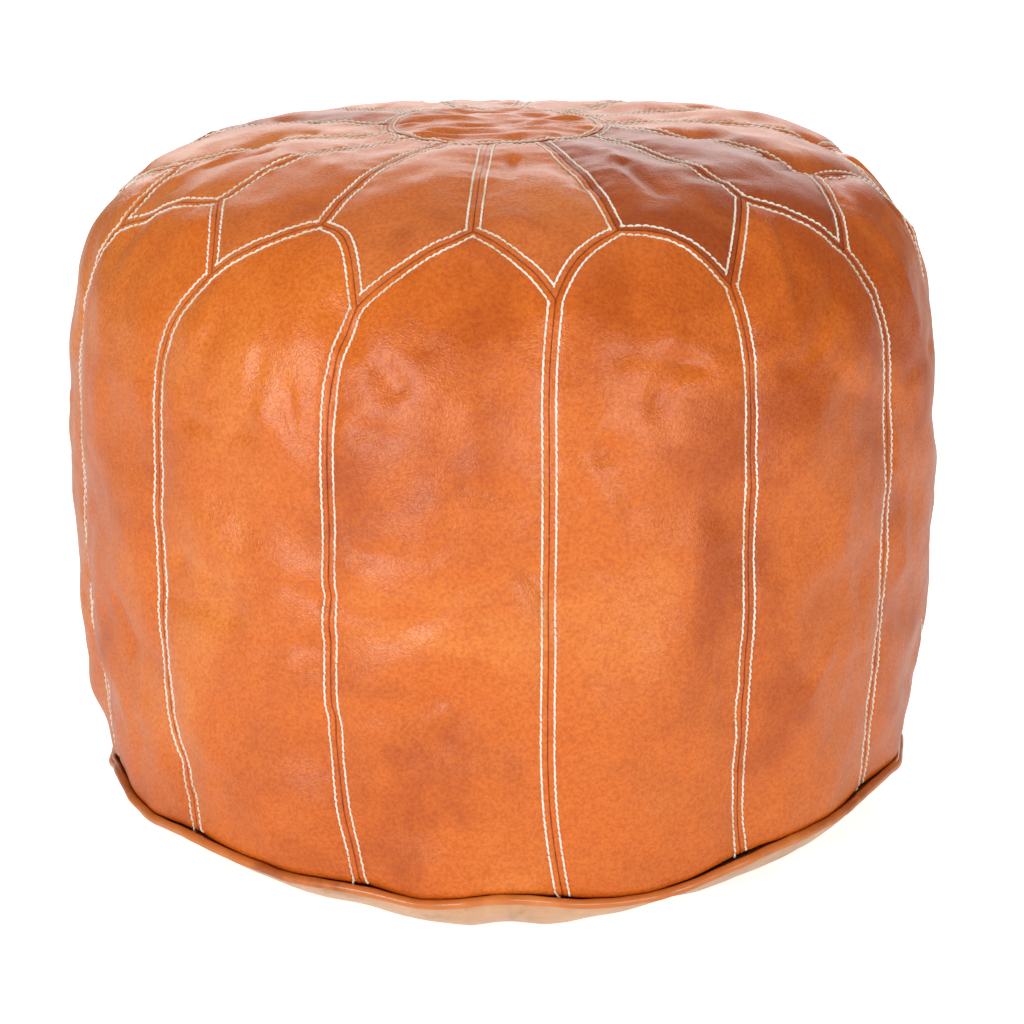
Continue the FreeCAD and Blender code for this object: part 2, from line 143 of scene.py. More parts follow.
SIDE_SEAM_SHIFTS = np.radians([-0.2, -0.5, 0.0, 0.4, -0.5, 0.3, 0.0, -0.4, 0.5, 0.2, -0.3, -1.0, -1.4, -0.8])
DISC_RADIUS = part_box("top_disc")[1].x
DISC_SHIFT = 0.007
DISC_SHIFT_BEARING = math.radians(-40)
SEAM_DRIFT = math.radians(3.1)
SEAM_DRIFT_REACH = 0.11
SEAM_LEAN_REACH = 0.06


def turned(bearings, number):
    """Entry number of a list that goes round once, carried on past both ends."""
    return bearings[number % PANEL_COUNT] + 2 * math.pi * (number // PANEL_COUNT)


def side_seam(number, reach):
    """Bearing of a side seam: it drifts to the right at its foot and leans to its tip at the top."""
    upright = FIRST_SEAM + number * PANEL_SPAN + SIDE_SEAM_SHIFTS[number % PANEL_COUNT]
    drift = SEAM_DRIFT * np.clip(1 - reach / SEAM_DRIFT_REACH, 0, 1) ** 2
    tip_reach = TIP_REACHES[number % PANEL_COUNT]
    lean = np.clip((reach - tip_reach) / SEAM_LEAN_REACH + 1, 0, 1) ** 2
    return upright + drift + lean * (turned(TIP_BEARINGS, number) - upright)


def arch_reach(number, bearing):
    """Reach of the arch between two tips: steep where it leaves a tip, and pointed in the middle."""
    left, right = turned(TIP_BEARINGS, number), turned(TIP_BEARINGS, number + 1)
    point = turned(POINT_BEARINGS, number)
    on_left = bearing < point
    climb = np.where(on_left, (bearing - left) / (point - left), (right - bearing) / (right - point))
    climb = np.clip(climb, 0, 1)
    side = number % PANEL_COUNT
    roundness = np.where(on_left, LEFT_ROUNDNESS[side], RIGHT_ROUNDNESS[side])
    curve = (1 - roundness) * climb + roundness * (1 - (1 - climb) ** 3.6)
    tip = np.where(on_left, TIP_REACHES[number % PANEL_COUNT], TIP_REACHES[(number + 1) % PANEL_COUNT])
    return tip + (POINT_REACHES[number % PANEL_COUNT] - tip) * curve


def disc_edge(bearing):
    """Radius of the disc's edge: a circle set a little off the middle of the crown."""
    angle = bearing - DISC_SHIFT_BEARING
    return DISC_SHIFT * np.cos(angle) + np.sqrt(DISC_RADIUS**2 - (DISC_SHIFT * np.sin(angle)) ** 2)


def plan_place(bearing, radius):
    return np.stack((radius * np.cos(bearing), radius * np.sin(bearing)), -1)


# ------------------------------------------------------------------ the welt's line
# The welt was pulled tight unevenly when the base was sewn on, so it rises and falls round
# the foot of the cover. A point is a bearing in degrees and the height of the middle of its
# cord in millimetres.

WELT_LINE = [
    (0, 24), (11, 17), (22, 18), (38, 32), (62, 35), (92, 29), (112, 28), (140, 25), (165, 23), (192, 28),
    (215, 24), (240, 30), (270, 18), (292, 31), (303, 23), (314, 27), (331, 21), (339, 23), (351, 18),
    (360, 24),
]


def welt_height(bearing):
    """Height of the welt, a smooth curve through its line's points."""
    places = np.radians([place for place, _ in WELT_LINE])
    heights = np.array([height for _, height in WELT_LINE]) / 1000
    fine = np.linspace(0, 2 * math.pi, 1441)
    level = np.interp(fine, places, heights)[:-1]
    for _ in range(3):
        level = np.mean([np.roll(level, shift) for shift in range(-6, 7)], axis=0)
    return np.interp(np.mod(bearing, 2 * math.pi), fine, np.append(level, level[0]))


def foot_reach(bearing):
    """Reach of the side panels' lower edge, just above the welt."""
    return reach_at_height(welt_height(bearing) + 0.0016)


# ------------------------------------------------------------------ the pull of the wadding
# Leather cut a little too full is drawn in by its seams and lies in soft dents and puckers
# over the wadding. A cloth simulation of the whole cover finds them; its seams are shorter
# than its hides, and the wadding holds it near the form.

LUMP_COLUMNS = 224
LUMP_ROWS = 84
LUMP_FRAMES = 20
LUMP_STRENGTH = 0.68
CALM_RADIUS = 0.045


def spread_waves(points, size, seed, count=50):
    """A smooth random value of spread 1 at each point, whose lumps are about size apart."""
    random = np.random.default_rng(seed)
    value = np.zeros(points.shape[:-1])
    for _ in range(count):
        direction = random.normal(size=3)
        direction *= 2 * math.pi / (np.linalg.norm(direction) * size * random.uniform(0.7, 1.6))
        value += np.cos(points @ direction + random.uniform(0, 2 * math.pi))
    return value / math.sqrt(count / 2)


def seam_network():
    """Points a few millimetres apart along every seam of the cover."""
    steps = np.linspace(0, 1, 60)
    lines = []
    for number in range(PANEL_COUNT):
        reach = foot_reach(0 * steps) + steps * (TIP_REACHES[number] - foot_reach(0 * steps))
        lines.append(form_point(side_seam(number, reach), reach))
        left, right = turned(TIP_BEARINGS, number), turned(TIP_BEARINGS, number + 1)
        bearing = left + steps * (right - left)
        lines.append(form_point(bearing, arch_reach(number, bearing)))
        point_radius = np.interp(POINT_REACHES[number], SECTION_REACH, SECTION_RADIUS)
        start = plan_place(POINT_BEARINGS[number], point_radius)
        end = plan_place(DISC_BEARINGS[number], disc_edge(DISC_BEARINGS[number]))
        plan = start + steps[:, None] * (end - start)
        lines.append(form_point(np.arctan2(plan[:, 1], plan[:, 0]), reach_at_radius(np.hypot(*plan.T))))
    ring = np.linspace(0, 2 * math.pi, 200)
    lines.append(form_point(ring, reach_at_radius(disc_edge(ring))))
    return np.concatenate(lines)


def nearest_on(samples, points):
    """Distance from each point to the samples, and which sample is nearest."""
    tree = KDTree(len(samples))
    for number, sample in enumerate(samples):
        tree.insert(sample, number)
    tree.balance()
    found = [tree.find(point) for point in points]
    return np.array([item[2] for item in found]), np.array([item[1] for item in found])


def set_weights(piece, name, weights):
    group = piece.vertex_groups.new(name=name)
    for number, weight in enumerate(weights):
        group.add([number], float(weight), "REPLACE")


def simulate_lumps(reaches, bearings):
    """How far the simulation moves each point of a grid over the form."""
    grid = form_point(bearings[None, :] + 0 * reaches[:, None], reaches[:, None] + 0 * bearings[None, :])
    points = grid.reshape(-1, 3)
    faces = []
    for row in range(LUMP_ROWS - 1):
        for column in range(LUMP_COLUMNS):
            beside = (column + 1) % LUMP_COLUMNS
            start, above = row * LUMP_COLUMNS, (row + 1) * LUMP_COLUMNS
            faces.append((start + column, start + beside, above + beside, above + column))
    mesh = bpy.data.meshes.new("cover_form")
    mesh.from_pydata(points.tolist(), [], faces)
    piece = bpy.data.objects.new("cover_form", mesh)
    bpy.context.scene.collection.objects.link(piece)

    distance, _ = nearest_on(seam_network(), points)
    at_seam = np.exp(-((distance / 0.006) ** 2))
    fullness = np.clip(0.5 + 0.35 * spread_waves(points, 0.10, seed=3), 0, 1)
    fixed = np.full(len(points), 0.14)
    fixed[:LUMP_COLUMNS] = 1
    fixed[np.hypot(points[:, 0], points[:, 1]) < CALM_RADIUS] = 1
    set_weights(piece, "shortened", np.clip(0.5 * (1 - fullness) + at_seam, 0, 1))
    set_weights(piece, "held", fixed)

    cloth = piece.modifiers.new("leather", "CLOTH")
    leather = cloth.settings
    leather.quality = 6
    leather.mass = 0.3
    leather.air_damping = 4
    leather.tension_stiffness = 40
    leather.compression_stiffness = 40
    leather.shear_stiffness = 20
    leather.bending_model = "ANGULAR"
    leather.bending_stiffness = 110
    leather.use_pressure = True
    leather.uniform_pressure_force = 2.5
    leather.vertex_group_shrink = "shortened"
    leather.shrink_min = -0.016
    leather.shrink_max = 0.008
    leather.vertex_group_mass = "held"
    leather.effector_weights.gravity = 0
    cloth.collision_settings.use_collision = False
    cloth.point_cache.frame_end = LUMP_FRAMES
    for step in range(1, LUMP_FRAMES + 1):
        bpy.context.scene.frame_set(step)
    shaped = piece.evaluated_get(bpy.context.evaluated_depsgraph_get())
    places = np.empty(len(points) * 3, np.float32)
    shaped.data.vertices.foreach_get("co", places)
    bpy.context.scene.frame_set(1)
    bpy.data.objects.remove(piece)
    return (places.reshape(-1, 3) - points).reshape(grid.shape)


def make_lumps():
    reaches = np.linspace(0, SECTION_REACH[-1] - 0.012, LUMP_ROWS)
    bearings = np.arange(LUMP_COLUMNS) * 2 * math.pi / LUMP_COLUMNS
    lumps = simulate_lumps(reaches, bearings)
    outward = form_normal(bearings[None, :] + 0 * reaches[:, None], reaches[:, None] + 0 * bearings[None, :])
    rise = np.sum(lumps * outward, axis=-1)
    rise -= np.quantile(rise, 0.75, axis=1)[:, None] * np.clip(reaches / 0.04, 0, 1)[:, None]
    radius = np.interp(reaches, SECTION_REACH, SECTION_RADIUS)
    on_crown = np.clip((reaches - 0.33) / 0.08, 0, 1)
    calm = np.clip((radius - CALM_RADIUS) / 0.03, 0, 1) * np.clip(reaches / 0.04, 0.1, 1)
    calm = calm * (1 - 0.5 * on_crown)
    return reaches, LUMP_STRENGTH * outward * (rise * calm[:, None])[..., None]


LUMP_REACHES, LUMPS = make_lumps()


def lump_at(bearing, reach):
    """The lumps' move at any place, by smooth interpolation of their grid."""
    column = np.mod(bearing, 2 * math.pi) / (2 * math.pi) * LUMP_COLUMNS
    row = np.clip(np.interp(reach, LUMP_REACHES, np.arange(LUMP_ROWS)), 0, LUMP_ROWS - 1.001)
    first_column, first_row = np.floor(column), np.floor(row)

    def shares(part):
        return (
            (1 - part) ** 3 / 6,
            (3 * part**3 - 6 * part**2 + 4) / 6,
            (-3 * part**3 + 3 * part**2 + 3 * part + 1) / 6,
            part**3 / 6,
        )

    move = 0
    for row_step, row_share in enumerate(shares(row - first_row), -1):
        rows = np.clip(first_row + row_step, 0, LUMP_ROWS - 1).astype(int)
        for column_step, column_share in enumerate(shares(column - first_column), -1):
            columns = ((first_column + column_step) % LUMP_COLUMNS).astype(int)
            move = move + (row_share * column_share)[..., None] * LUMPS[rows, columns]
    return move


# Where the wadding has settled and where hands have gripped it, the leather has kept folds: from
# a place to a place as bearing in degrees and reach in millimetres, then width in millimetres
# and rise as a share of FOLD_DEPTH. A fold with a negative rise is a valley.
FOLD_DEPTH = 0.0018
FOLDS = [
    (-30, 300, -31, 268, 4, -0.9), (-21, 300, -20, 272, 3.5, -0.9), (-26, 285, -25, 262, 3.5, -0.8),
    (-42, 262, -33, 259, 5, -0.8), (-43, 184, -36, 176, 6, -0.8), (-44, 160, -34, 163, 6, -0.8),
    (-32, 186, -22, 181, 6, -0.8), (-30, 148, -21, 156, 6, -0.8), (-31, 120, -22, 114, 7, -0.8),
    (-17, 270, -13, 266, 4, -0.8), (-17, 205, -8, 209, 5, -0.8), (-17, 176, -9, 171, 5, -0.8),
    (-16, 120, -8, 127, 6, -0.8), (-5, 244, 1, 240, 4, -0.8), (-5, 190, 3, 196, 6, -0.8),
    (-4, 100, 2, 108, 6, -0.8), (8, 262, 14, 258, 5, -0.7), (7, 196, 15, 202, 6, -0.7),
    (8, 98, 17, 92, 7, -0.8), (20, 120, 29, 112, 7, -0.8), (21, 200, 28, 196, 6, -0.7),
    (36, 292, 44, 286, 5, -0.8), (47, 272, 51, 262, 5, -0.8), (62, 268, 72, 276, 6, -0.8),
    (35, 122, 52, 119, 6, -0.8), (84, 262, 86, 190, 6, -1.0), (78, 240, 80, 150, 6, -0.9),
]

# The barrel is not quite round either: here it sags and there it bulges, over a hand's width.
# These are given as the folds are, but with their rise in millimetres.
SAGS = [
    (-94, 4, -82, 10, 24, -5.0), (-96, 57, -82, 57, 22, 2.5), (-98, 212, -84, 212, 26, -2.0),
    (-98, 160, -84, 160, 26, 2.5), (212, 402, 150, 398, 52, -5.2), (132, 400, 112, 396, 45, 5.0),
    (84, 90, 98, 90, 38, 7.0), (82, 2, 98, 6, 24, -7.0), (172, 398, 150, 396, 40, -2.0),
]
BROAD = 0.020
ODD_FOLDS = 150


def odd_folds():
    """Folds all round the cover, where each is as likely as the next."""
    random = np.random.default_rng(17)
    folds = []
    for _ in range(ODD_FOLDS):
        bearing = random.uniform(0, 2 * math.pi)
        reach = random.uniform(0.05, 0.46)
        lean, length = random.normal(0, 0.7), random.uniform(0.015, 0.05)
        across = length * math.sin(lean) / 0.24
        rise = random.choice((-1.1, -0.8, 0.7)) * FOLD_DEPTH
        width = random.uniform(4, 9) / 1000
        folds.append((bearing, reach, bearing + across, reach + length * math.cos(lean), width, rise))
    return folds


def all_folds():
    """Every fold and sag in radians and metres."""
    places_and_width = (math.pi / 180, 0.001, math.pi / 180, 0.001, 0.001)
    folds = [np.multiply(fold, (*places_and_width, FOLD_DEPTH)) for fold in FOLDS]
    sags = [np.multiply(sag, (*places_and_width, 0.001)) for sag in SAGS]
    return folds + odd_folds() + sags


def fold_rise(points):
    """How far the folds raise or sink the leather at points of the form."""
    flat = points.reshape(-1, 3)
    even = np.ones(len(flat))
    wander = 1 + 0.25 * spread_waves(flat, 0.018, seed=41, count=24)
    rise = np.zeros(len(flat))
    for first_bearing, first_reach, last_bearing, last_reach, width, height in all_folds():
        uneven = even if width > BROAD else wander
        start = form_point(np.array(first_bearing), np.array(first_reach))
        run = form_point(np.array(last_bearing), np.array(last_reach)) - start
        near = np.linalg.norm(flat - start, axis=1) < np.linalg.norm(run) + 3 * width
        from_start = flat[near] - start
        share = np.clip(from_start @ run / (run @ run), 0, 1)
        distance = np.linalg.norm(from_start - share[:, None] * run, axis=1)
        rise[near] += height * uneven[near] * np.exp(-((distance / width) ** 2))
    rise += 0.0006 * spread_waves(flat, 0.055, seed=43) + 0.00028 * spread_waves(flat, 0.022, seed=44)
    return rise.reshape(points.shape[:-1])


def cover_point(bearing, reach, lift):
    """A place on the stuffed cover, a lift above the leather's own level."""
    level = form_point(bearing, reach)
    lift = lift + fold_rise(level)
    return level + lump_at(bearing, reach) + form_normal(bearing, reach) * lift[..., None]


# ------------------------------------------------------------------ leather
# Aniline-dyed goat hide: orange tan, mottled where the dye took unevenly, glossy from wax,
# with a fine pebbled grain. Close to each sewn edge its colour is darkened: painted shade in the seam
# groove.


def new_group(name, inputs, outputs):
    """A shader node group with named inputs, their defaults, and named outputs."""
    group = bpy.data.node_groups.new(name, "ShaderNodeTree")
    for label, kind, value in inputs:
        socket = group.interface.new_socket(label, in_out="INPUT", socket_type=f"NodeSocket{kind}")
        socket.default_value = value
    for label, kind in outputs:
        group.interface.new_socket(label, in_out="OUTPUT", socket_type=f"NodeSocket{kind}")
    return group, group.nodes.new("NodeGroupInput").outputs, group.nodes.new("NodeGroupOutput").inputs


def node(tree, kind, links=(), **settings):
    """A node with its settings. Links go into its inputs, by name or number: a socket or a plain value."""
    made = tree.nodes.new(kind if "Node" in kind else f"ShaderNode{kind}")
    for name, value in settings.items():
        setattr(made, name, value)
    for place, value in dict(links).items():
        if isinstance(value, bpy.types.NodeSocket):
            tree.links.new(value, made.inputs[place])
        else:
            made.inputs[place].default_value = value
    return made


def noise(tree, place, scale, **settings):
    return node(tree, "TexNoise", {"Vector": place, "Scale": scale, **settings}).outputs[0]


def maths(tree, operation, *values):
    return node(tree, "Math", dict(enumerate(values)), operation=operation).outputs[0]


def ramp(tree, value, stops):
    """A colour ramp's colour output, smooth between stops of (place, (red, green, blue))."""
    made = node(tree, "ValToRGB", {0: value})
    made.color_ramp.interpolation = "EASE"
    points = made.color_ramp.elements
    while len(points) < len(stops):
        points.new(0.5)
    for point, (place, colour) in zip(points, stops):
        point.position = place
        point.color = (*colour, 1)
    return made.outputs[0]


def mix_colour(tree, share, first, second, blend="MIX"):
    made = node(tree, "Mix", {0: share, 6: first, 7: second}, data_type="RGBA", blend_type=blend)
    return made.outputs[2]


def grain_group():
    """Fine pebbles and pores: a height from 0 to 1."""
    group, given, result = new_group(
        "hide_grain",
        [("Vector", "Vector", (0, 0, 0)), ("Pebbles per metre", "Float", 700.0), ("Pores", "Float", 0.5)],
        [("Height", "Float")],
    )
    pebbles = node(group, "TexVoronoi", {"Vector": given[0], "Scale": given[1], "Randomness": 1.0},
                   feature="SMOOTH_F1")
    pebbles.inputs["Smoothness"].default_value = 0.6
    fine_scale = maths(group, "MULTIPLY", given[1], 1.7)
    fine = node(group, "TexNoise", {"Vector": given[0], "Scale": fine_scale, "Detail": 3.0})
    pores = maths(group, "MULTIPLY", fine.outputs[0], given[2])
    group.links.new(maths(group, "ADD", pebbles.outputs["Distance"], pores), result[0])
    return group


def mottle_group():
    """Uneven dye: broad clouds with smaller ones inside them, from 0 to 1."""
    group, given, result = new_group(
        "dye_mottle",
        [("Vector", "Vector", (0, 0, 0)), ("Clouds per metre", "Float", 9.0), ("Blotches", "Float", 0.35)],
        [("Value", "Float")],
    )
    broad = node(group, "TexNoise", {"Vector": given[0], "Scale": given[1], "Detail": 4.0, "Roughness": 0.55,
                                     "Distortion": 0.6})
    small = node(group, "TexNoise", {"Vector": given[0], "Scale": maths(group, "MULTIPLY", given[1], 5.5),
                                     "Detail": 5.0, "Roughness": 0.6})
    shift = maths(group, "MULTIPLY", maths(group, "SUBTRACT", small.outputs[0], 0.5), given[2])
    group.links.new(maths(group, "ADD", broad.outputs[0], shift), result[0])
    return group


GRAIN = grain_group()
MOTTLE = mottle_group()


def group_node(tree, group, **values):
    links = {name.replace("_", " "): value for name, value in values.items()}
    return node(tree, "Group", links, node_tree=group).outputs[0]


def new_material(name):
    material = bpy.data.materials.new(name)
    material.use_nodes = True
    tree = material.node_tree
    return material, tree, tree.nodes["Principled BSDF"], node(tree, "TexCoord").outputs["Object"]


def bump(tree, height, strength, distance, under=None):
    links = {"Height": height, "Strength": strength, "Distance": distance}
    if under is not None:
        links["Normal"] = under
    return node(tree, "Bump", links).outputs[0]


def attribute(tree, name):
    return node(tree, "Attribute", attribute_name=name).outputs["Fac"]


def leather_material(name, deep, usual, bright, gloss):
    material, tree, shader, place = new_material(name)
    mottle = group_node(tree, MOTTLE, Vector=place, Clouds_per_metre=8.0, Blotches=0.22)
    shade = maths(tree, "ADD", mottle, attribute(tree, "tone"))
    colour = ramp(tree, shade, [(0.24, deep), (0.48, usual), (0.76, bright)])
    specks = noise(tree, place, 520.0, Detail=4.0, Roughness=0.6)
    speckled = ramp(tree, specks, [(0.30, (0.80, 0.67, 0.56)), (0.66, (1.0, 1.0, 1.0))])
    colour = mix_colour(tree, 1.0, colour, speckled, "MULTIPLY")
    # Painted shade: within about a millimetre of the sewn edge the colour is multiplied darker, standing in
    # for the shade in the seam groove.
    edge = maths(tree, "DIVIDE", attribute(tree, "edge"), 0.0009)
    seam_painted_shade = ramp(tree, edge, [(0.0, (0.16, 0.06, 0.03)), (0.35, (0.75, 0.62, 0.55)), (0.8, (1, 1, 1))])
    colour = mix_colour(tree, 1.0, colour, seam_painted_shade, "MULTIPLY")
    tree.links.new(colour, shader.inputs["Base Color"])
    dull, shiny = gloss + 0.08, gloss - 0.05
    rough = node(tree, "MapRange", {0: mottle, 1: 0.25, 2: 0.75, 3: dull, 4: shiny}).outputs[0]
    tree.links.new(rough, shader.inputs["Roughness"])
    shader.inputs["Specular IOR Level"].default_value = 0.42
    shader.inputs["Coat Weight"].default_value = 0.10
    shader.inputs["Coat Roughness"].default_value = 0.25
    creases = noise(tree, place, 42.0, Detail=5.0, Roughness=0.48, Distortion=0.9)
    soft = bump(tree, creases, 0.5, 0.0017)
    grain = group_node(tree, GRAIN, Vector=place, Pebbles_per_metre=950.0, Pores=0.5)
    tree.links.new(bump(tree, grain, 0.75, 0.0003, soft), shader.inputs["Normal"])
    return material


PANEL_DYE = ((0.52, 0.095, 0.006), (0.72, 0.165, 0.016), (0.82, 0.245, 0.04))
CROWN_DYE = ((0.40, 0.075, 0.010), (0.66, 0.165, 0.028), (0.74, 0.235, 0.055))
PANEL_LEATHER = leather_material("panel_leather", *PANEL_DYE, gloss=0.28)
CROWN_LEATHER = leather_material("crown_leather", *CROWN_DYE, gloss=0.37)


# ------------------------------------------------------------------ how a hide is laid and edged
# Each hide's edge is turned in and pressed down into the seam, its stitches sink into a
# shallow trough beside it, and the leather swells out again past them.

LEATHER_THICKNESS = 0.0018
STITCH_INSET = 0.0035
SEAM_SINK = 0.0004
TROUGH_SINK = 0.0005
FOOT_SINK = 0.0012
SIDE_SWELL = 0.0022
CROWN_SWELL = 0.0010
EDGE_STEPS = np.array([0, 0.3, 0.65, 1.2, 2.0, 2.8, 3.5, 4.2, 5.2, 6.8, 8.8, 11.5]) / 1000
GRID_STEP = 0.0030
PUCKER_PITCH = 0.0125
PUCKER_INSET = 0.006
PUCKER_WIDTH = 0.006
PUCKER_RISE = 0.00022


def lift_from_edge(distance, along, reach):
    """Height of the leather, which is below the form's level near its sewn edge and swells out to it."""
    on_crown = np.clip((reach - 0.26) / 0.09, 0, 1)
    sink = SEAM_SINK * np.exp(-((distance / 0.0006) ** 2))
    trough = TROUGH_SINK * np.exp(-(((distance - STITCH_INSET) / 0.0013) ** 2))
    swell = (on_crown * (SIDE_SWELL - CROWN_SWELL) - SIDE_SWELL) * np.exp(-((distance / 0.018) ** 1.4))
    pucker = np.sin(along * 2 * math.pi / PUCKER_PITCH + 2.5 * np.sin(along * 31))
    pucker = pucker * np.exp(-(((distance - PUCKER_INSET) / PUCKER_WIDTH) ** 2))
    return swell - sink - trough + PUCKER_RISE * pucker


def fractions(length, edge_start, edge_end):
    """Steps from 0 to 1 over a length, close together at an edge that is sewn."""
    start = EDGE_STEPS if edge_start else EDGE_STEPS[:1]
    end = EDGE_STEPS if edge_end else EDGE_STEPS[:1]
    count = max(int((length - start[-1] - end[-1]) / GRID_STEP), 2)
    middle = np.linspace(start[-1], length - end[-1], count)
    return np.concatenate((start[:-1], middle, length - end[-2::-1])) / length


def grid_mesh(name, points, attributes):
    """A mesh over a grid of points, its faces towards the outside, with attributes at each point."""
    rows, columns = points.shape[:2]
    numbers = np.arange(rows * columns).reshape(rows, columns)
    corners = (numbers[:-1, :-1], numbers[:-1, 1:], numbers[1:, 1:], numbers[1:, :-1])
    faces = np.stack(corners, -1).reshape(-1, 4)
    mesh = bpy.data.meshes.new(name)
    mesh.from_pydata(points.reshape(-1, 3).tolist(), [], faces.tolist())
    for label, values in attributes.items():
        layer = mesh.attributes.new(label, "FLOAT", "POINT")
        layer.data.foreach_set("value", np.ascontiguousarray(values, np.float32).ravel())
    mesh.polygons.foreach_set("use_smooth", [True] * len(mesh.polygons))
    piece = bpy.data.objects.new(name, mesh)
    bpy.context.scene.collection.objects.link(piece)
    return piece


def sewn_edge(bearing, reach, open_foot, spacing=0.0005):
    """Places close together along the sewn edge of a grid of places, with the way along them."""
    places = np.stack((bearing, reach), -1)
    sides = [places[0], places[1:, -1], places[-1, -2::-1], places[-2::-1, 0]]
    edge = np.concatenate(sides[1:] if open_foot else sides)
    points = form_point(edge[:, 0], edge[:, 1])
    way = np.concatenate(([0], np.cumsum(np.linalg.norm(np.diff(points, axis=0), axis=1))))
    fine = np.arange(0, way[-1], spacing)
    return np.stack([np.interp(fine, way, edge[:, axis]) for axis in (0, 1)], -1), fine


def thicken(piece, thickness):
    """Give a sheet its thickness, on the side away from its face."""
    wall = piece.modifiers.new("thickness", "SOLIDIFY")
    wall.thickness = thickness
    wall.offset = -1


STITCH_ROWS = {"side": [], "crown": []}


def mark_stitches(row_name, piece, places, samples, closed):
    """Note the line of a piece's stitches: a little way in from its sewn edge, on its face."""
    normal = form_normal(places[:, 0], places[:, 1])
    forward = np.roll(samples, -4, axis=0) - np.roll(samples, 4, axis=0)
    if not closed:
        forward[:4], forward[-4:] = forward[4], forward[-5]
    inward = np.cross(normal, forward)
    inward *= STITCH_INSET / np.linalg.norm(inward, axis=1, keepdims=True)
    clear, _ = nearest_on(samples, samples + inward)
    kept = clear > 0.97 * STITCH_INSET
    places, samples, normal, inward = places[kept], samples[kept], normal[kept], inward[kept]
    radius = np.hypot(samples[:, 0], samples[:, 1])
    east = around(places[:, 0] + math.pi / 2, 1 + 0 * radius, 0 * radius)
    bearing = places[:, 0] + np.sum(inward * east, axis=1) / radius
    reach = places[:, 1] + np.sum(inward * np.cross(normal, east), axis=1)
    line = cover_point(bearing, reach, 0 * reach)
    STITCH_ROWS[row_name].append((piece, line[::3], normal[::3], closed))


def lay_hide(name, bearing, reach, tone, material, row_name, open_foot=False, closed=True):
    """A piece of leather over a grid of places, sewn along its edge, but not at an open foot."""
    places, way = sewn_edge(bearing, reach, open_foot)
    samples = form_point(places[:, 0], places[:, 1])
    points = form_point(bearing, reach).reshape(-1, 3)
    distance, nearest = nearest_on(samples, points)
    distance = distance.reshape(bearing.shape)
    along = way[nearest].reshape(bearing.shape)
    lift = lift_from_edge(distance, along, reach)
    if open_foot:
        above_foot = reach - foot_reach(bearing)
        lift = lift - FOOT_SINK * np.exp(-((above_foot / 0.0028) ** 2))
        distance = np.minimum(distance, above_foot * 0.5)
    attributes = {"edge": distance, "tone": 0 * distance + tone}
    piece = grid_mesh(name, cover_point(bearing, reach, lift), attributes)
    piece.data.materials.append(material)
    mark_stitches(row_name, piece, places, samples, closed)
    thicken(piece, LEATHER_THICKNESS)
    return piece


# ------------------------------------------------------------------ side panels
# Fourteen tall panels of hide stand round the side. Each has a pointed arch for a head, is
# sewn to its neighbours with two rows of thread, and is caught with the welt at its foot.

# Each panel's shift along the dye ramp: partly a random difference in dye, partly painted shade, as the
# panels at the right front, away from the key light, are made darker.
PANEL_TONES_AND_SHADE = [-0.05, -0.12, -0.17, 0.02, -0.03, 0.05, 0.0, -0.05, 0.03, -0.02, 0.04, -0.06, 0.0, 0.0]

for number in range(PANEL_COUNT):
    left, right = turned(TIP_BEARINGS, number), turned(TIP_BEARINGS, number + 1)
    point = turned(POINT_BEARINGS, number)
    across = fractions(WIDEST * PANEL_SPAN, True, True)
    share = (point - left) / (right - left)
    across = np.unique(np.append(across[np.abs(across - share) > 0.008], share))
    upward = fractions(TIP_REACHES[number] - 0.02, True, True)
    head_bearing = left + across * (right - left)
    head = arch_reach(number, head_bearing)
    foot = foot_reach(FIRST_SEAM + (number + across) * PANEL_SPAN + SEAM_DRIFT)
    reach = foot + upward[:, None] * (head - foot)
    bearing = side_seam(number, reach) * (1 - across) + side_seam(number + 1, reach) * across
    panel = lay_hide(f"side_panel_leather_{number + 1:02d}", bearing, reach, PANEL_TONES_AND_SHADE[number],
                     PANEL_LEATHER, "side", open_foot=True, closed=False)
    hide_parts(f"side_panel_{number + 1:02d}")
    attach(panel, "cover")


# ------------------------------------------------------------------ crown wedges
# Fourteen wedges run from the disc down into the valleys between the arches, where each
# ends in a point at the head of a side seam.

# Each wedge's shift along the dye ramp: partly a random difference in dye, partly painted shade, as the
# wedges at the right front, away from the key light, are made darker.
CROWN_TONES_AND_SHADE = [0.04, -0.26, -0.32, -0.12, 0.02, -0.06, 0.04, -0.10, 0.0, -0.14, 0.03, 0.0, 0.0, 0.05]

for number in range(PANEL_COUNT):
    left, right = turned(POINT_BEARINGS, number - 1), turned(POINT_BEARINGS, number)
    tip = turned(TIP_BEARINGS, number)
    across = fractions(0.088, True, True)
    share = (tip - left) / (right - left)
    across = np.unique(np.append(across[np.abs(across - share) > 0.008], share))
    upward = fractions(0.15, True, True)
    foot_bearing = left + across * (right - left)
    left_arch, right_arch = arch_reach(number - 1, foot_bearing), arch_reach(number, foot_bearing)
    foot = np.where(foot_bearing < tip, left_arch, right_arch)
    foot_plan = plan_place(foot_bearing, np.interp(foot, SECTION_REACH, SECTION_RADIUS))
    top_left, top_right = turned(DISC_BEARINGS, number - 1), turned(DISC_BEARINGS, number)
    top_bearing = top_left + across * (top_right - top_left)
    top_plan = plan_place(top_bearing, disc_edge(top_bearing))
    plan = foot_plan + upward[:, None, None] * (top_plan - foot_plan)
    bearing = np.unwrap(np.arctan2(plan[..., 1], plan[..., 0]))
    reach = reach_at_radius(np.hypot(plan[..., 0], plan[..., 1]))
    wedge = lay_hide(f"crown_wedge_leather_{number + 1:02d}", bearing, reach, CROWN_TONES_AND_SHADE[number],
                     CROWN_LEATHER, "crown")
    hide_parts(f"crown_wedge_{number + 1:02d}")
    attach(wedge, "cover")


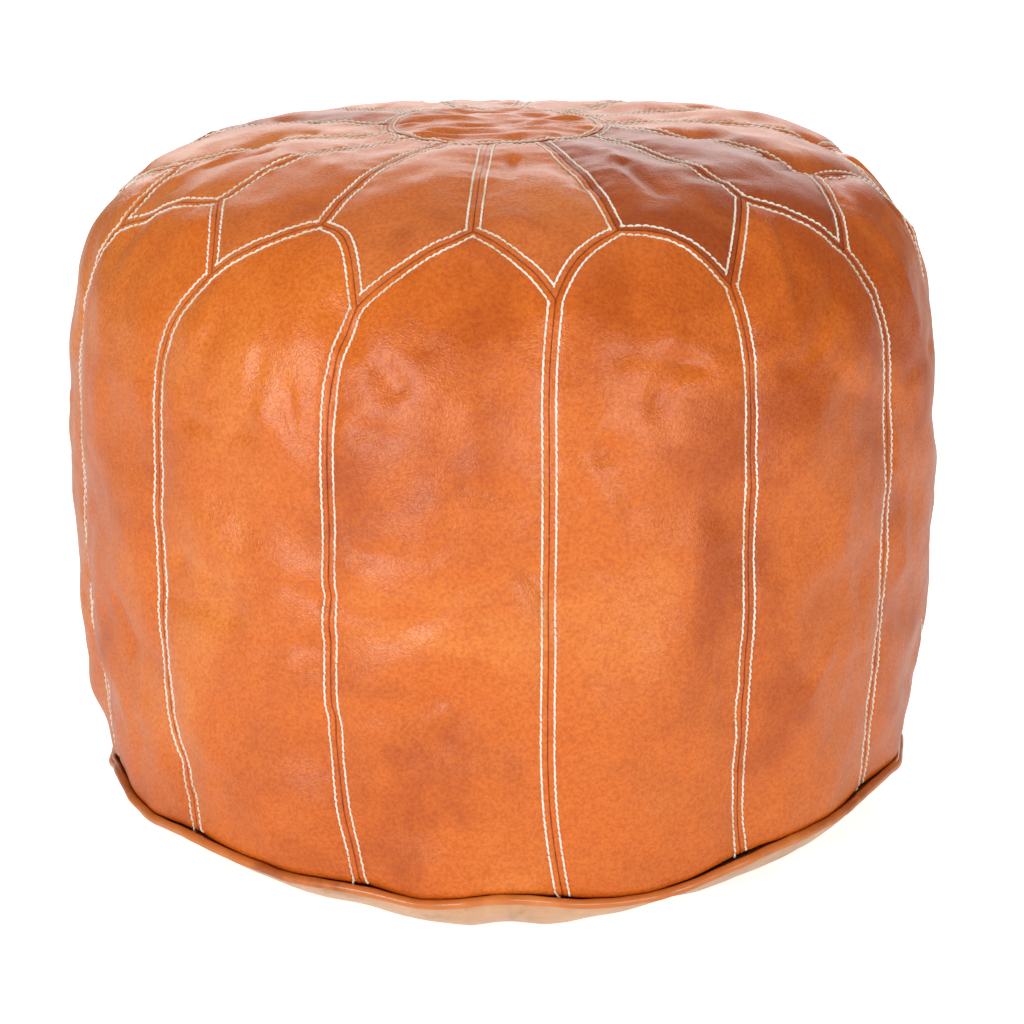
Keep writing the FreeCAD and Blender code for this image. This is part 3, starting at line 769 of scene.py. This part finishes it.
# ------------------------------------------------------------------ top disc
# A round of hide covers the place where the wedges meet. It is sewn down over their ends with
# its own row of stitches, and lies in fine creases where years of sitting have pressed it.

DISC_COLUMNS = 180


def close_round(piece):
    """Join the first and last columns of a piece that goes right round, and its middle."""
    edit = bmesh.new()
    edit.from_mesh(piece.data)
    bmesh.ops.remove_doubles(edit, verts=edit.verts, dist=0.00001)
    edit.to_mesh(piece.data)
    edit.free()


disc_bearing = np.linspace(0, 2 * math.pi, DISC_COLUMNS + 1)
disc_share = 1 - fractions(DISC_RADIUS, True, False)
disc_plan_radius = disc_share[:, None] * disc_edge(disc_bearing)
disc_all_bearings = disc_bearing + 0 * disc_plan_radius
disc_reach = reach_at_radius(disc_plan_radius)
edge_places = np.stack((disc_bearing, disc_reach[0]), -1)
edge_samples = form_point(disc_bearing, disc_reach[0])
disc_distance = disc_edge(disc_bearing) * (1 - disc_share[:, None])
disc_lift = 0.0003 + lift_from_edge(disc_distance, disc_all_bearings * DISC_RADIUS, disc_reach)
disc_points = cover_point(disc_all_bearings, disc_reach, disc_lift)
rumple = spread_waves(disc_points * (1.0, 2.6, 1.0), 0.030, seed=21)
disc_points[..., 2] += 0.0007 * rumple * np.clip(disc_distance / 0.010, 0, 1)
disc = grid_mesh("top_disc_leather", disc_points, {"edge": disc_distance, "tone": 0 * disc_distance - 0.02})
disc.data.materials.append(CROWN_LEATHER)
mark_stitches("crown", disc, *[part[:-1] for part in (edge_places, edge_samples)], closed=True)
close_round(disc)
thicken(disc, LEATHER_THICKNESS)
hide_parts("top_disc")
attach(disc, "cover")


# ------------------------------------------------------------------ stitching
# Thick waxed cotton thread, cream white, in one row along the edge of every piece of leather.
# Each stitch is a short bight that rises from one hole and dips into the next.

STITCH_PITCH = 0.0037
THREAD_THICKNESS = 0.00118
STITCH_LENGTH = 0.0034
STITCH_SLANT = math.radians(5)
SLANT_SPREAD = math.radians(5)
MOST_TURN = math.cos(math.radians(28))
SEWING_SIZES = {
    "Pitch": STITCH_PITCH,
    "Thread thickness": THREAD_THICKNESS,
    "Stitch length": STITCH_LENGTH,
    "Slant": STITCH_SLANT,
    "Slant spread": SLANT_SPREAD,
}


def thread_material():
    material, tree, shader, place = new_material("cotton_thread")
    soil = noise(tree, place, 40.0, Detail=4.0)
    soiled, usual, clean = (0.70, 0.58, 0.42), (0.88, 0.81, 0.68), (0.93, 0.89, 0.80)
    colour = ramp(tree, soil, [(0.3, soiled), (0.55, usual), (0.8, clean)])
    tree.links.new(colour, shader.inputs["Base Color"])
    shader.inputs["Roughness"].default_value = 0.75
    shader.inputs["Sheen Weight"].default_value = 0.25
    fibres = noise(tree, place, 2600.0, Detail=2.0)
    tree.links.new(bump(tree, fibres, 0.5, 0.0002), shader.inputs["Normal"])
    return material


def stitch_tree():
    """Geometry Nodes that set a stitch at every pitch along lines that carry their outward direction."""
    tree = bpy.data.node_groups.new("stitches_along", "GeometryNodeTree")
    interface = tree.interface
    interface.new_socket("Geometry", in_out="INPUT", socket_type="NodeSocketGeometry")
    for label, value in SEWING_SIZES.items():
        interface.new_socket(label, in_out="INPUT", socket_type="NodeSocketFloat").default_value = value
    interface.new_socket("Thread", in_out="INPUT", socket_type="NodeSocketMaterial")
    interface.new_socket("Geometry", in_out="OUTPUT", socket_type="NodeSocketGeometry")
    given = tree.nodes.new("NodeGroupInput").outputs

    def step(kind, links=(), **settings):
        return node(tree, kind, links, **settings).outputs

    def times(value, factor):
        return step("ShaderNodeMath", {0: value, 1: factor}, operation="MULTIPLY")[0]

    half = times(given["Stitch length"], 0.5)
    low = times(given["Thread thickness"], -0.45)
    high = times(given["Thread thickness"], 0.85)
    start = step("ShaderNodeCombineXYZ", {0: times(half, -1.0), 2: low})[0]
    crest = step("ShaderNodeCombineXYZ", {2: high})[0]
    end = step("ShaderNodeCombineXYZ", {0: half, 2: low})[0]
    bend = {"Resolution": 4, "Start": start, "Middle": crest, "End": end}
    bight = step("GeometryNodeCurveQuadraticBezier", bend)[0]
    round_thread = {"Resolution": 6, "Radius": times(given["Thread thickness"], 0.5)}
    section = step("GeometryNodeCurvePrimitiveCircle", round_thread)[0]
    round_bight = {"Curve": bight, "Profile Curve": section, "Fill Caps": True}
    stitch = step("GeometryNodeCurveToMesh", round_bight)[0]

    lines = step("GeometryNodeMeshToCurve", {"Mesh": given["Geometry"]})[0]
    holes = step("GeometryNodeResampleCurve", {"Curve": lines, "Length": given["Pitch"]}, mode="LENGTH")[0]
    outward = step("GeometryNodeInputNamedAttribute", {"Name": "outward"}, data_type="FLOAT_VECTOR")[0]
    along = step("GeometryNodeInputTangent")[0]
    axes = {"primary_axis": "Z", "secondary_axis": "X"}
    facing = step("FunctionNodeAxesToRotation", {0: outward, 1: along}, **axes)[0]
    least = step("ShaderNodeMath", {0: given["Slant"], 1: given["Slant spread"]}, operation="SUBTRACT")[0]
    most = step("ShaderNodeMath", {0: given["Slant"], 1: given["Slant spread"]}, operation="ADD")[0]
    slant = step("FunctionNodeRandomValue", {"Min": least, "Max": most, "Seed": 5}, data_type="FLOAT")
    angle = [socket for socket in slant if socket.enabled][0]
    twist = step("FunctionNodeAxisAngleToRotation", {"Axis": (0, 0, 1), "Angle": angle})[0]
    turned_facing = step("FunctionNodeRotateRotation", {0: facing, 1: twist}, rotation_space="LOCAL")[0]
    size = step("FunctionNodeRandomValue", {"Min": 0.9, "Max": 1.1, "Seed": 9}, data_type="FLOAT")
    scale = [socket for socket in size if socket.enabled][0]
    stitches = step(
        "GeometryNodeInstanceOnPoints",
        {"Points": holes, "Instance": stitch, "Rotation": turned_facing, "Scale": scale},
    )[0]
    real = step("GeometryNodeRealizeInstances", {0: stitches})[0]
    smooth = step("GeometryNodeSetShadeSmooth", {0: real})[0]
    finished = step("GeometryNodeSetMaterial", {"Geometry": smooth, "Material": given["Thread"]})[0]
    tree.links.new(finished, tree.nodes.new("NodeGroupOutput").inputs[0])
    return tree


def set_input(modifier, label, value):
    for item in modifier.node_group.interface.items_tree:
        if item.item_type == "SOCKET" and item.in_out == "INPUT" and item.name == label:
            modifier[item.identifier] = value


def row_mesh(name, rows):
    """A mesh of edges along the rows, each point on the face of its leather, with its outward direction."""
    points, outwards, edges = [], [], []
    for piece, line, normal, closed in rows:
        corners = [vertex.co for vertex in piece.data.vertices]
        face = BVHTree.FromPolygons(corners, [polygon.vertices for polygon in piece.data.polygons])
        first = len(points)
        for place, outward in zip(line, normal):
            hit = face.ray_cast(Vector(place + 0.006 * outward), Vector(-outward), 0.02)[0]
            hit = hit or face.find_nearest(Vector(place))[0]
            points.append(hit + Vector(outward) * 0.0002)
            outwards.append(outward)
        count = len(line)
        way = np.diff(np.concatenate((line, line[:1])), axis=0)
        way /= np.linalg.norm(way, axis=1, keepdims=True) + 1e-9
        straight = np.sum(way * np.roll(way, -1, axis=0), axis=1) > MOST_TURN
        for number in range(count if closed else count - 1):
            if straight[number]:
                edges.append((first + number, first + (number + 1) % count))
    mesh = bpy.data.meshes.new(name)
    mesh.from_pydata(points, edges, [])
    layer = mesh.attributes.new("outward", "FLOAT_VECTOR", "POINT")
    layer.data.foreach_set("vector", np.array(outwards, np.float32).ravel())
    return mesh


def plain_piece(name, source):
    """A plain mesh of an object's evaluated shape, in its place. The object is removed."""
    shaped = source.evaluated_get(bpy.context.evaluated_depsgraph_get())
    mesh = bpy.data.meshes.new_from_object(shaped)
    mesh.name = name
    piece = bpy.data.objects.new(name, mesh)
    bpy.context.scene.collection.objects.link(piece)
    bpy.data.objects.remove(source)
    return piece


STITCHES = stitch_tree()
THREAD = thread_material()
for row_name, rows in STITCH_ROWS.items():
    lines = bpy.data.objects.new("stitch_lines", row_mesh("stitch_lines", rows))
    bpy.context.scene.collection.objects.link(lines)
    sewing = lines.modifiers.new("sewing", "NODES")
    sewing.node_group = STITCHES
    for label, value in (*SEWING_SIZES.items(), ("Thread", THREAD)):
        set_input(sewing, label, value)
    stitches = plain_piece(f"{row_name}_stitching", lines)
    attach(stitches, "cover")


# ------------------------------------------------------------------ welt
# A strip of thin glossy hide folded round a cotton cord. Its two edges lie together in the
# seam between the side panels and the base, and the cord stands out below the panels.

WELT_RADIUS = 0.0026
WELT_CORD_RADIUS = 0.0018
WELT_OUT = 0.0008
WELT_FLANGE = 0.0095
WELT_COLUMNS = 1440


def welt_centre(bearing):
    """Radius and height of the middle of the welt's cord."""
    height = welt_height(bearing)
    place = cover_point(bearing, foot_reach(bearing), 0 * bearing)
    return np.hypot(place[..., 0], place[..., 1]) + WELT_OUT, height


def swept_round(name, section, swell=0.0):
    """A closed ring of a section, given as ways out and up from the middle of the welt's cord."""
    bearing = np.linspace(0, 2 * math.pi, WELT_COLUMNS + 1)
    radius, height = welt_centre(bearing)
    size = 1 + swell * (np.sin(bearing * 37) + np.sin(bearing * 88 + 2)) / 2
    section = np.concatenate((section, section[:1]))
    out, up = section[:, :1] * size, section[:, 1:] * size
    return grid_mesh(name, around(bearing, radius + out, height + up), {"tone": 0 * (out + up)})


def welt_section():
    """The folded strip: round the cord, with its two edges together behind it."""
    angle = np.radians(np.linspace(-162, 162, 25))
    ring = np.stack((WELT_RADIUS * np.cos(angle), WELT_RADIUS * np.sin(angle)), -1)
    back = [(-WELT_FLANGE, 0.0009), (-WELT_FLANGE, -0.0009)]
    return np.concatenate((ring, back))


def welt_material():
    material, tree, shader, place = new_material("welt_leather")
    mottle = group_node(tree, MOTTLE, Vector=place, Clouds_per_metre=16.0, Blotches=0.4)
    deep, usual, bright = (0.38, 0.085, 0.012), (0.62, 0.17, 0.03), (0.72, 0.24, 0.05)
    colour = ramp(tree, mottle, [(0.28, deep), (0.5, usual), (0.75, bright)])
    tree.links.new(colour, shader.inputs["Base Color"])
    shader.inputs["Roughness"].default_value = 0.30
    shader.inputs["Coat Weight"].default_value = 0.35
    shader.inputs["Coat Roughness"].default_value = 0.2
    wrinkles = noise(tree, place, 130.0, Detail=4.0)
    grain = group_node(tree, GRAIN, Vector=place, Pebbles_per_metre=900.0, Pores=0.4)
    under = bump(tree, wrinkles, 0.3, 0.0008)
    tree.links.new(bump(tree, grain, 0.15, 0.0002, under), shader.inputs["Normal"])
    return material


welt = swept_round("welt_strip", welt_section(), swell=0.05)
welt.data.materials.append(welt_material())
close_round(welt)
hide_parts("welt_cover")
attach(welt, "cover")

cord_turn = np.linspace(0, 2 * math.pi, 12, endpoint=False)
cord_section = WELT_CORD_RADIUS * np.stack((np.cos(cord_turn), np.sin(cord_turn)), -1)
cord = swept_round("welt_filler_cord", cord_section)
cord.data.materials.append(THREAD)
close_round(cord)
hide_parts("welt_cord")
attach(cord, "cover")


# ------------------------------------------------------------------ suede base
# Two halves of beige split leather, rough side out. Each curves in under the welt to the
# floor, and rises over the zip, where its hem is turned in along the teeth.

ZIP_JOINT = next(joint for joint in frame["joints"] if joint["name"] == "zip_slide")
ALONG_ZIP = np.array(ZIP_JOINT["axis"][:2])
ACROSS_ZIP = np.array([-ALONG_ZIP[1], ALONG_ZIP[0]])
SPLIT_THICKNESS = 0.0016
HEM_OFFSET = 0.0070
HEM_CLOSED = 0.00005
OPENING_HALF_LENGTH = 0.190
CLOSED_HALF_LENGTH = 0.199
RIM_OVERLAP = 0.0004
VALLEY_RISE = 0.0090
VALLEY_TOP = 0.014
VALLEY_FOOT = 0.024
RIM_ROUNDNESS = 1.45
BASE_COLUMNS = 220
BASE_ROWS = 90
LEAST_CONTACT = 0.190
FRONT_CONTACT = 0.032
FRONT_SPREAD = math.radians(27)
BACK_CONTACT = 0.022


def smooth_step(value, low, high):
    share = np.clip((value - low) / (high - low), 0, 1)
    return share * share * (3 - 2 * share)


def suede_material():
    material, tree, shader, place = new_material("split_suede")
    mottle = group_node(tree, MOTTLE, Vector=place, Clouds_per_metre=22.0, Blotches=0.5)
    deep, usual, bright = (0.42, 0.23, 0.11), (0.60, 0.34, 0.17), (0.70, 0.44, 0.24)
    colour = ramp(tree, mottle, [(0.25, deep), (0.5, usual), (0.75, bright)])
    tree.links.new(colour, shader.inputs["Base Color"])
    shader.inputs["Roughness"].default_value = 0.95
    shader.inputs["Sheen Weight"].default_value = 0.35
    shader.inputs["Sheen Roughness"].default_value = 0.6
    nap = noise(tree, place, 1400.0, Detail=4.0, Roughness=0.7)
    folds = noise(tree, place, 60.0, Detail=3.0, Distortion=1.0)
    tree.links.new(bump(tree, nap, 0.45, 0.0004, bump(tree, folds, 0.4, 0.0015)), shader.inputs["Normal"])
    return material


def base_height(plan, bearing, radius):
    """Height of the base's under face: flat on the floor, up to the welt at its rim, and up over the zip."""
    from_front = (bearing + math.pi) % (2 * math.pi) - math.pi
    contact = LEAST_CONTACT + FRONT_CONTACT * np.exp(-((from_front / FRONT_SPREAD) ** 2))
    contact = contact + BACK_CONTACT * (1 - np.cos(bearing)) / 2
    rim_radius, rim_height = welt_centre(bearing)
    rim_radius = rim_radius - WELT_OUT + RIM_OVERLAP
    rise = np.clip((radius - contact) / (rim_radius - contact), 0, 1)
    rim = (rim_height - 0.0012) * (1 - (1 - rise**RIM_ROUNDNESS) ** (1 / RIM_ROUNDNESS))
    valley = VALLEY_RISE * (1 - smooth_step(np.abs(plan @ ACROSS_ZIP), VALLEY_TOP, VALLEY_FOOT))
    points = np.concatenate((plan, 0 * plan[..., :1]), -1)
    rumple = 0.0010 * np.clip(spread_waves(points, 0.045, seed=33), -1, 3)
    rumple = (rumple + 0.0010) * np.clip((rim_radius - radius) / 0.010, 0, 1)
    return np.maximum(rim, valley) + rumple * (1 - valley / VALLEY_RISE)


def base_half(side):
    """A half of the base on one side of the zip: columns along the zip, rows from the hem to the rim."""
    spread = np.linspace(-1, 1, BASE_COLUMNS)
    rim_angle = math.pi / 2 * spread
    direction = np.arctan2(side * ACROSS_ZIP[0], -side * ACROSS_ZIP[1])
    bearing = direction + rim_angle
    rim_radius = welt_centre(bearing)[0] - WELT_OUT + RIM_OVERLAP
    rim = np.stack((rim_radius * np.sin(bearing), -rim_radius * np.cos(bearing)), -1)
    along = rim @ ALONG_ZIP
    closing = smooth_step(np.abs(along), OPENING_HALF_LENGTH, CLOSED_HALF_LENGTH)
    opening = HEM_OFFSET - (HEM_OFFSET - HEM_CLOSED) * closing
    hem = along[:, None] * ALONG_ZIP + side * opening[:, None] * ACROSS_ZIP
    rim = rim + side * HEM_CLOSED * ACROSS_ZIP
    share = np.linspace(0, 1, BASE_ROWS)[:, None, None]
    plan = hem + share * (rim - hem)
    radius = np.hypot(plan[..., 0], plan[..., 1])
    height = base_height(plan, np.arctan2(plan[..., 0], -plan[..., 1]), radius)
    return np.concatenate((plan, height[..., None]), -1)


SUEDE = suede_material()
for side, label in ((1, "left"), (-1, "right")):
    points = base_half(side)
    half = grid_mesh(f"suede_base_{label}", points, {"tone": 0 * points[..., 0]})
    half.data.materials.append(SUEDE)
    close_round(half)
    thicken(half, SPLIT_THICKNESS)
    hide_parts(f"base_half_{label}")
    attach(half, "cover")


# ------------------------------------------------------------------ zip
# A long brass zip closes the base. Its two woven cotton tapes are sewn under the hems, its
# teeth are pressed from brass wire, and its slider carries a flat pull tab.


def tape_material():
    material, tree, shader, place = new_material("woven_tape")
    turn = math.atan2(ALONG_ZIP[1], ALONG_ZIP[0])
    mapping = node(tree, "Mapping", {"Vector": place, "Rotation": (0, 0, -turn)}).outputs[0]

    def threads(scale, direction):
        links = {"Vector": mapping, "Scale": scale, "Distortion": 0.3}
        return node(tree, "TexWave", links, bands_direction=direction).outputs[1]

    warp = threads(700.0, "X")
    weft = threads(420.0, "Y")
    weave = maths(tree, "MULTIPLY", warp, weft)
    colour = ramp(tree, weave, [(0.1, (0.10, 0.06, 0.035)), (0.8, (0.26, 0.17, 0.10))])
    tree.links.new(colour, shader.inputs["Base Color"])
    shader.inputs["Roughness"].default_value = 0.9
    tree.links.new(bump(tree, weave, 0.5, 0.0003), shader.inputs["Normal"])
    return material


def brass_material():
    material, tree, shader, place = new_material("worn_brass")
    tarnish = group_node(tree, MOTTLE, Vector=place, Clouds_per_metre=60.0, Blotches=0.5)
    dark, usual, rubbed = (0.36, 0.22, 0.08), (0.72, 0.50, 0.20), (0.85, 0.66, 0.33)
    colour = ramp(tree, tarnish, [(0.3, dark), (0.55, usual), (0.8, rubbed)])
    tree.links.new(colour, shader.inputs["Base Color"])
    shader.inputs["Metallic"].default_value = 1.0
    rough = node(tree, "MapRange", {0: tarnish, 1: 0.3, 2: 0.7, 3: 0.45, 4: 0.25}).outputs[0]
    tree.links.new(rough, shader.inputs["Roughness"])
    scratches = noise(tree, place, 900.0, Detail=3.0)
    tree.links.new(bump(tree, scratches, 0.2, 0.0001), shader.inputs["Normal"])
    return material


BRASS = brass_material()
TAPE = tape_material()
for name, finish in (
    ("zip_tape_left", TAPE),
    ("zip_tape_right", TAPE),
    ("zip_teeth_left", BRASS),
    ("zip_teeth_right", BRASS),
    ("zip_top_stops", BRASS),
    ("zip_bottom_stop", BRASS),
    ("zip_slider", BRASS),
    ("zip_pull", BRASS),
):
    frame["nodes"][name].data.materials.clear()
    frame["nodes"][name].data.materials.append(finish)


# ------------------------------------------------------------------ wadding
# Cotton waste and cloth offcuts are packed in through the zip until the cover is hard. They
# fill it almost to the leather, and lie flat over the inside of the base.

WADDING_GAP = 0.010
WADDING_COLUMNS = 96
WADDING_FLOOR = 0.018
WADDING_FOOT = [(0, WADDING_FLOOR), (0.19, WADDING_FLOOR), (0.214, 0.026)]


def wadding_material():
    material, tree, shader, place = new_material("cotton_waste")
    clumps = noise(tree, place, 60.0, Detail=6.0, Roughness=0.7)
    colour = ramp(tree, clumps, [(0.3, (0.52, 0.47, 0.40)), (0.7, (0.80, 0.77, 0.70))])
    tree.links.new(colour, shader.inputs["Base Color"])
    shader.inputs["Roughness"].default_value = 1.0
    tree.links.new(bump(tree, clumps, 0.6, 0.003), shader.inputs["Normal"])
    return material


bearing = np.linspace(0, 2 * math.pi, WADDING_COLUMNS + 1)
reach = np.linspace(reach_at_height(0.048), SECTION_REACH[-1], 70)
bearings, reaches = np.meshgrid(bearing, reach)
stuffed = cover_point(bearings, reaches, 0 * reaches - WADDING_GAP)
under = [around(bearing, radius, height)[None] for radius, height in WADDING_FOOT]
wadding_points = np.concatenate((*under, stuffed))
wadding = grid_mesh("packed_wadding", wadding_points, {"tone": 0 * wadding_points[..., 0]})
wadding.data.materials.append(wadding_material())
close_round(wadding)
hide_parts("filling")
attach(wadding, "cover")


# ------------------------------------------------------------------ light, floor and camera
# A pale floor, two low wide soft lights in front, the left one stronger, one light above, and
# one behind. The floor is clear from below, so that the base and the zip can be seen.

AIM_HEIGHT = 0.160
CAMERA_DISTANCE = 1.567
CAMERA_PITCH = math.radians(17.53)
FLOOR_GAP = 0.0005

camera_back = CAMERA_DISTANCE * math.cos(CAMERA_PITCH)
camera_up = AIM_HEIGHT + CAMERA_DISTANCE * math.sin(CAMERA_PITCH)
bpy.ops.object.camera_add(
    location=(0, -camera_back, camera_up),
    rotation=(math.pi / 2 - CAMERA_PITCH, 0, 0),
)
camera = bpy.context.object
camera.data.lens = 93.1
camera.data.sensor_width = 36
camera.data.shift_x = 0.0083
bpy.context.scene.camera = camera

bpy.ops.mesh.primitive_plane_add(size=12)
floor = bpy.context.object
floor.name = "floor"
floor_material, floor_tree, floor_shader, _ = new_material("pale_floor")
floor_path = node(floor_tree, "LightPath").outputs
pale, mirrored_grey = (0.88, 0.88, 0.88, 1), (0.42, 0.42, 0.42, 1)
floor_colour = mix_colour(floor_tree, floor_path["Is Glossy Ray"], pale, mirrored_grey)
floor_tree.links.new(floor_colour, floor_shader.inputs["Base Color"])
floor_shader.inputs["Emission Color"].default_value = (1, 1, 1, 1)
floor_seen = floor_path["Is Camera Ray"]
floor_glow = node(floor_tree, "MapRange", {0: floor_seen, 3: 0.34, 4: 0.72}).outputs[0]
floor_tree.links.new(floor_glow, floor_shader.inputs["Emission Strength"])
floor_shader.inputs["Roughness"].default_value = 0.9
from_below = node(floor_tree, "NewGeometry").outputs["Backfacing"]
floor_tree.links.new(maths(floor_tree, "SUBTRACT", 1.0, from_below), floor_shader.inputs["Alpha"])
floor.location.z = -FLOOR_GAP
floor.data.materials.append(floor_material)


def soft_light(name, place, target, size, power, glossy=True):
    light = bpy.data.lights.new(name, "AREA")
    light.shape = "RECTANGLE"
    light.size, light.size_y = size
    light.energy = power
    lamp = bpy.data.objects.new(name, light)
    lamp.location = place
    lamp.rotation_euler = (Vector(target) - Vector(place)).to_track_quat("-Z", "Y").to_euler()
    lamp.visible_glossy = glossy
    bpy.context.scene.collection.objects.link(lamp)


soft_light("key", (-1.30, -2.00, 0.50), (0, 0, 0.2), (1.20, 0.66), 22)
soft_light("fill", (1.15, -2.00, 0.48), (0, 0, 0.2), (0.95, 0.62), 12)
soft_light("top", (0.0, 0.1, 2.3), (0, 0, 0.3), (1.6, 1.6), 22, glossy=False)
soft_light("back", (0.0, 2.6, 1.0), (0, 0, 0.3), (2.4, 1.2), 21)

world = bpy.data.worlds.new("studio")
bpy.context.scene.world = world
world.use_nodes = True
backdrop = world.node_tree.nodes["Background"]
backdrop.inputs["Color"].default_value = (1, 1, 1, 1)
seen = node(world.node_tree, "LightPath").outputs["Is Camera Ray"]
mirrored = node(world.node_tree, "LightPath").outputs["Is Glossy Ray"]
ambient = node(world.node_tree, "MapRange", {0: mirrored, 3: 0.36, 4: 0.12}).outputs[0]
strength = node(world.node_tree, "MapRange", {0: seen, 3: ambient, 4: 1.1}).outputs[0]
world.node_tree.links.new(strength, backdrop.inputs["Strength"])
bpy.context.scene.view_settings.view_transform = "Standard"
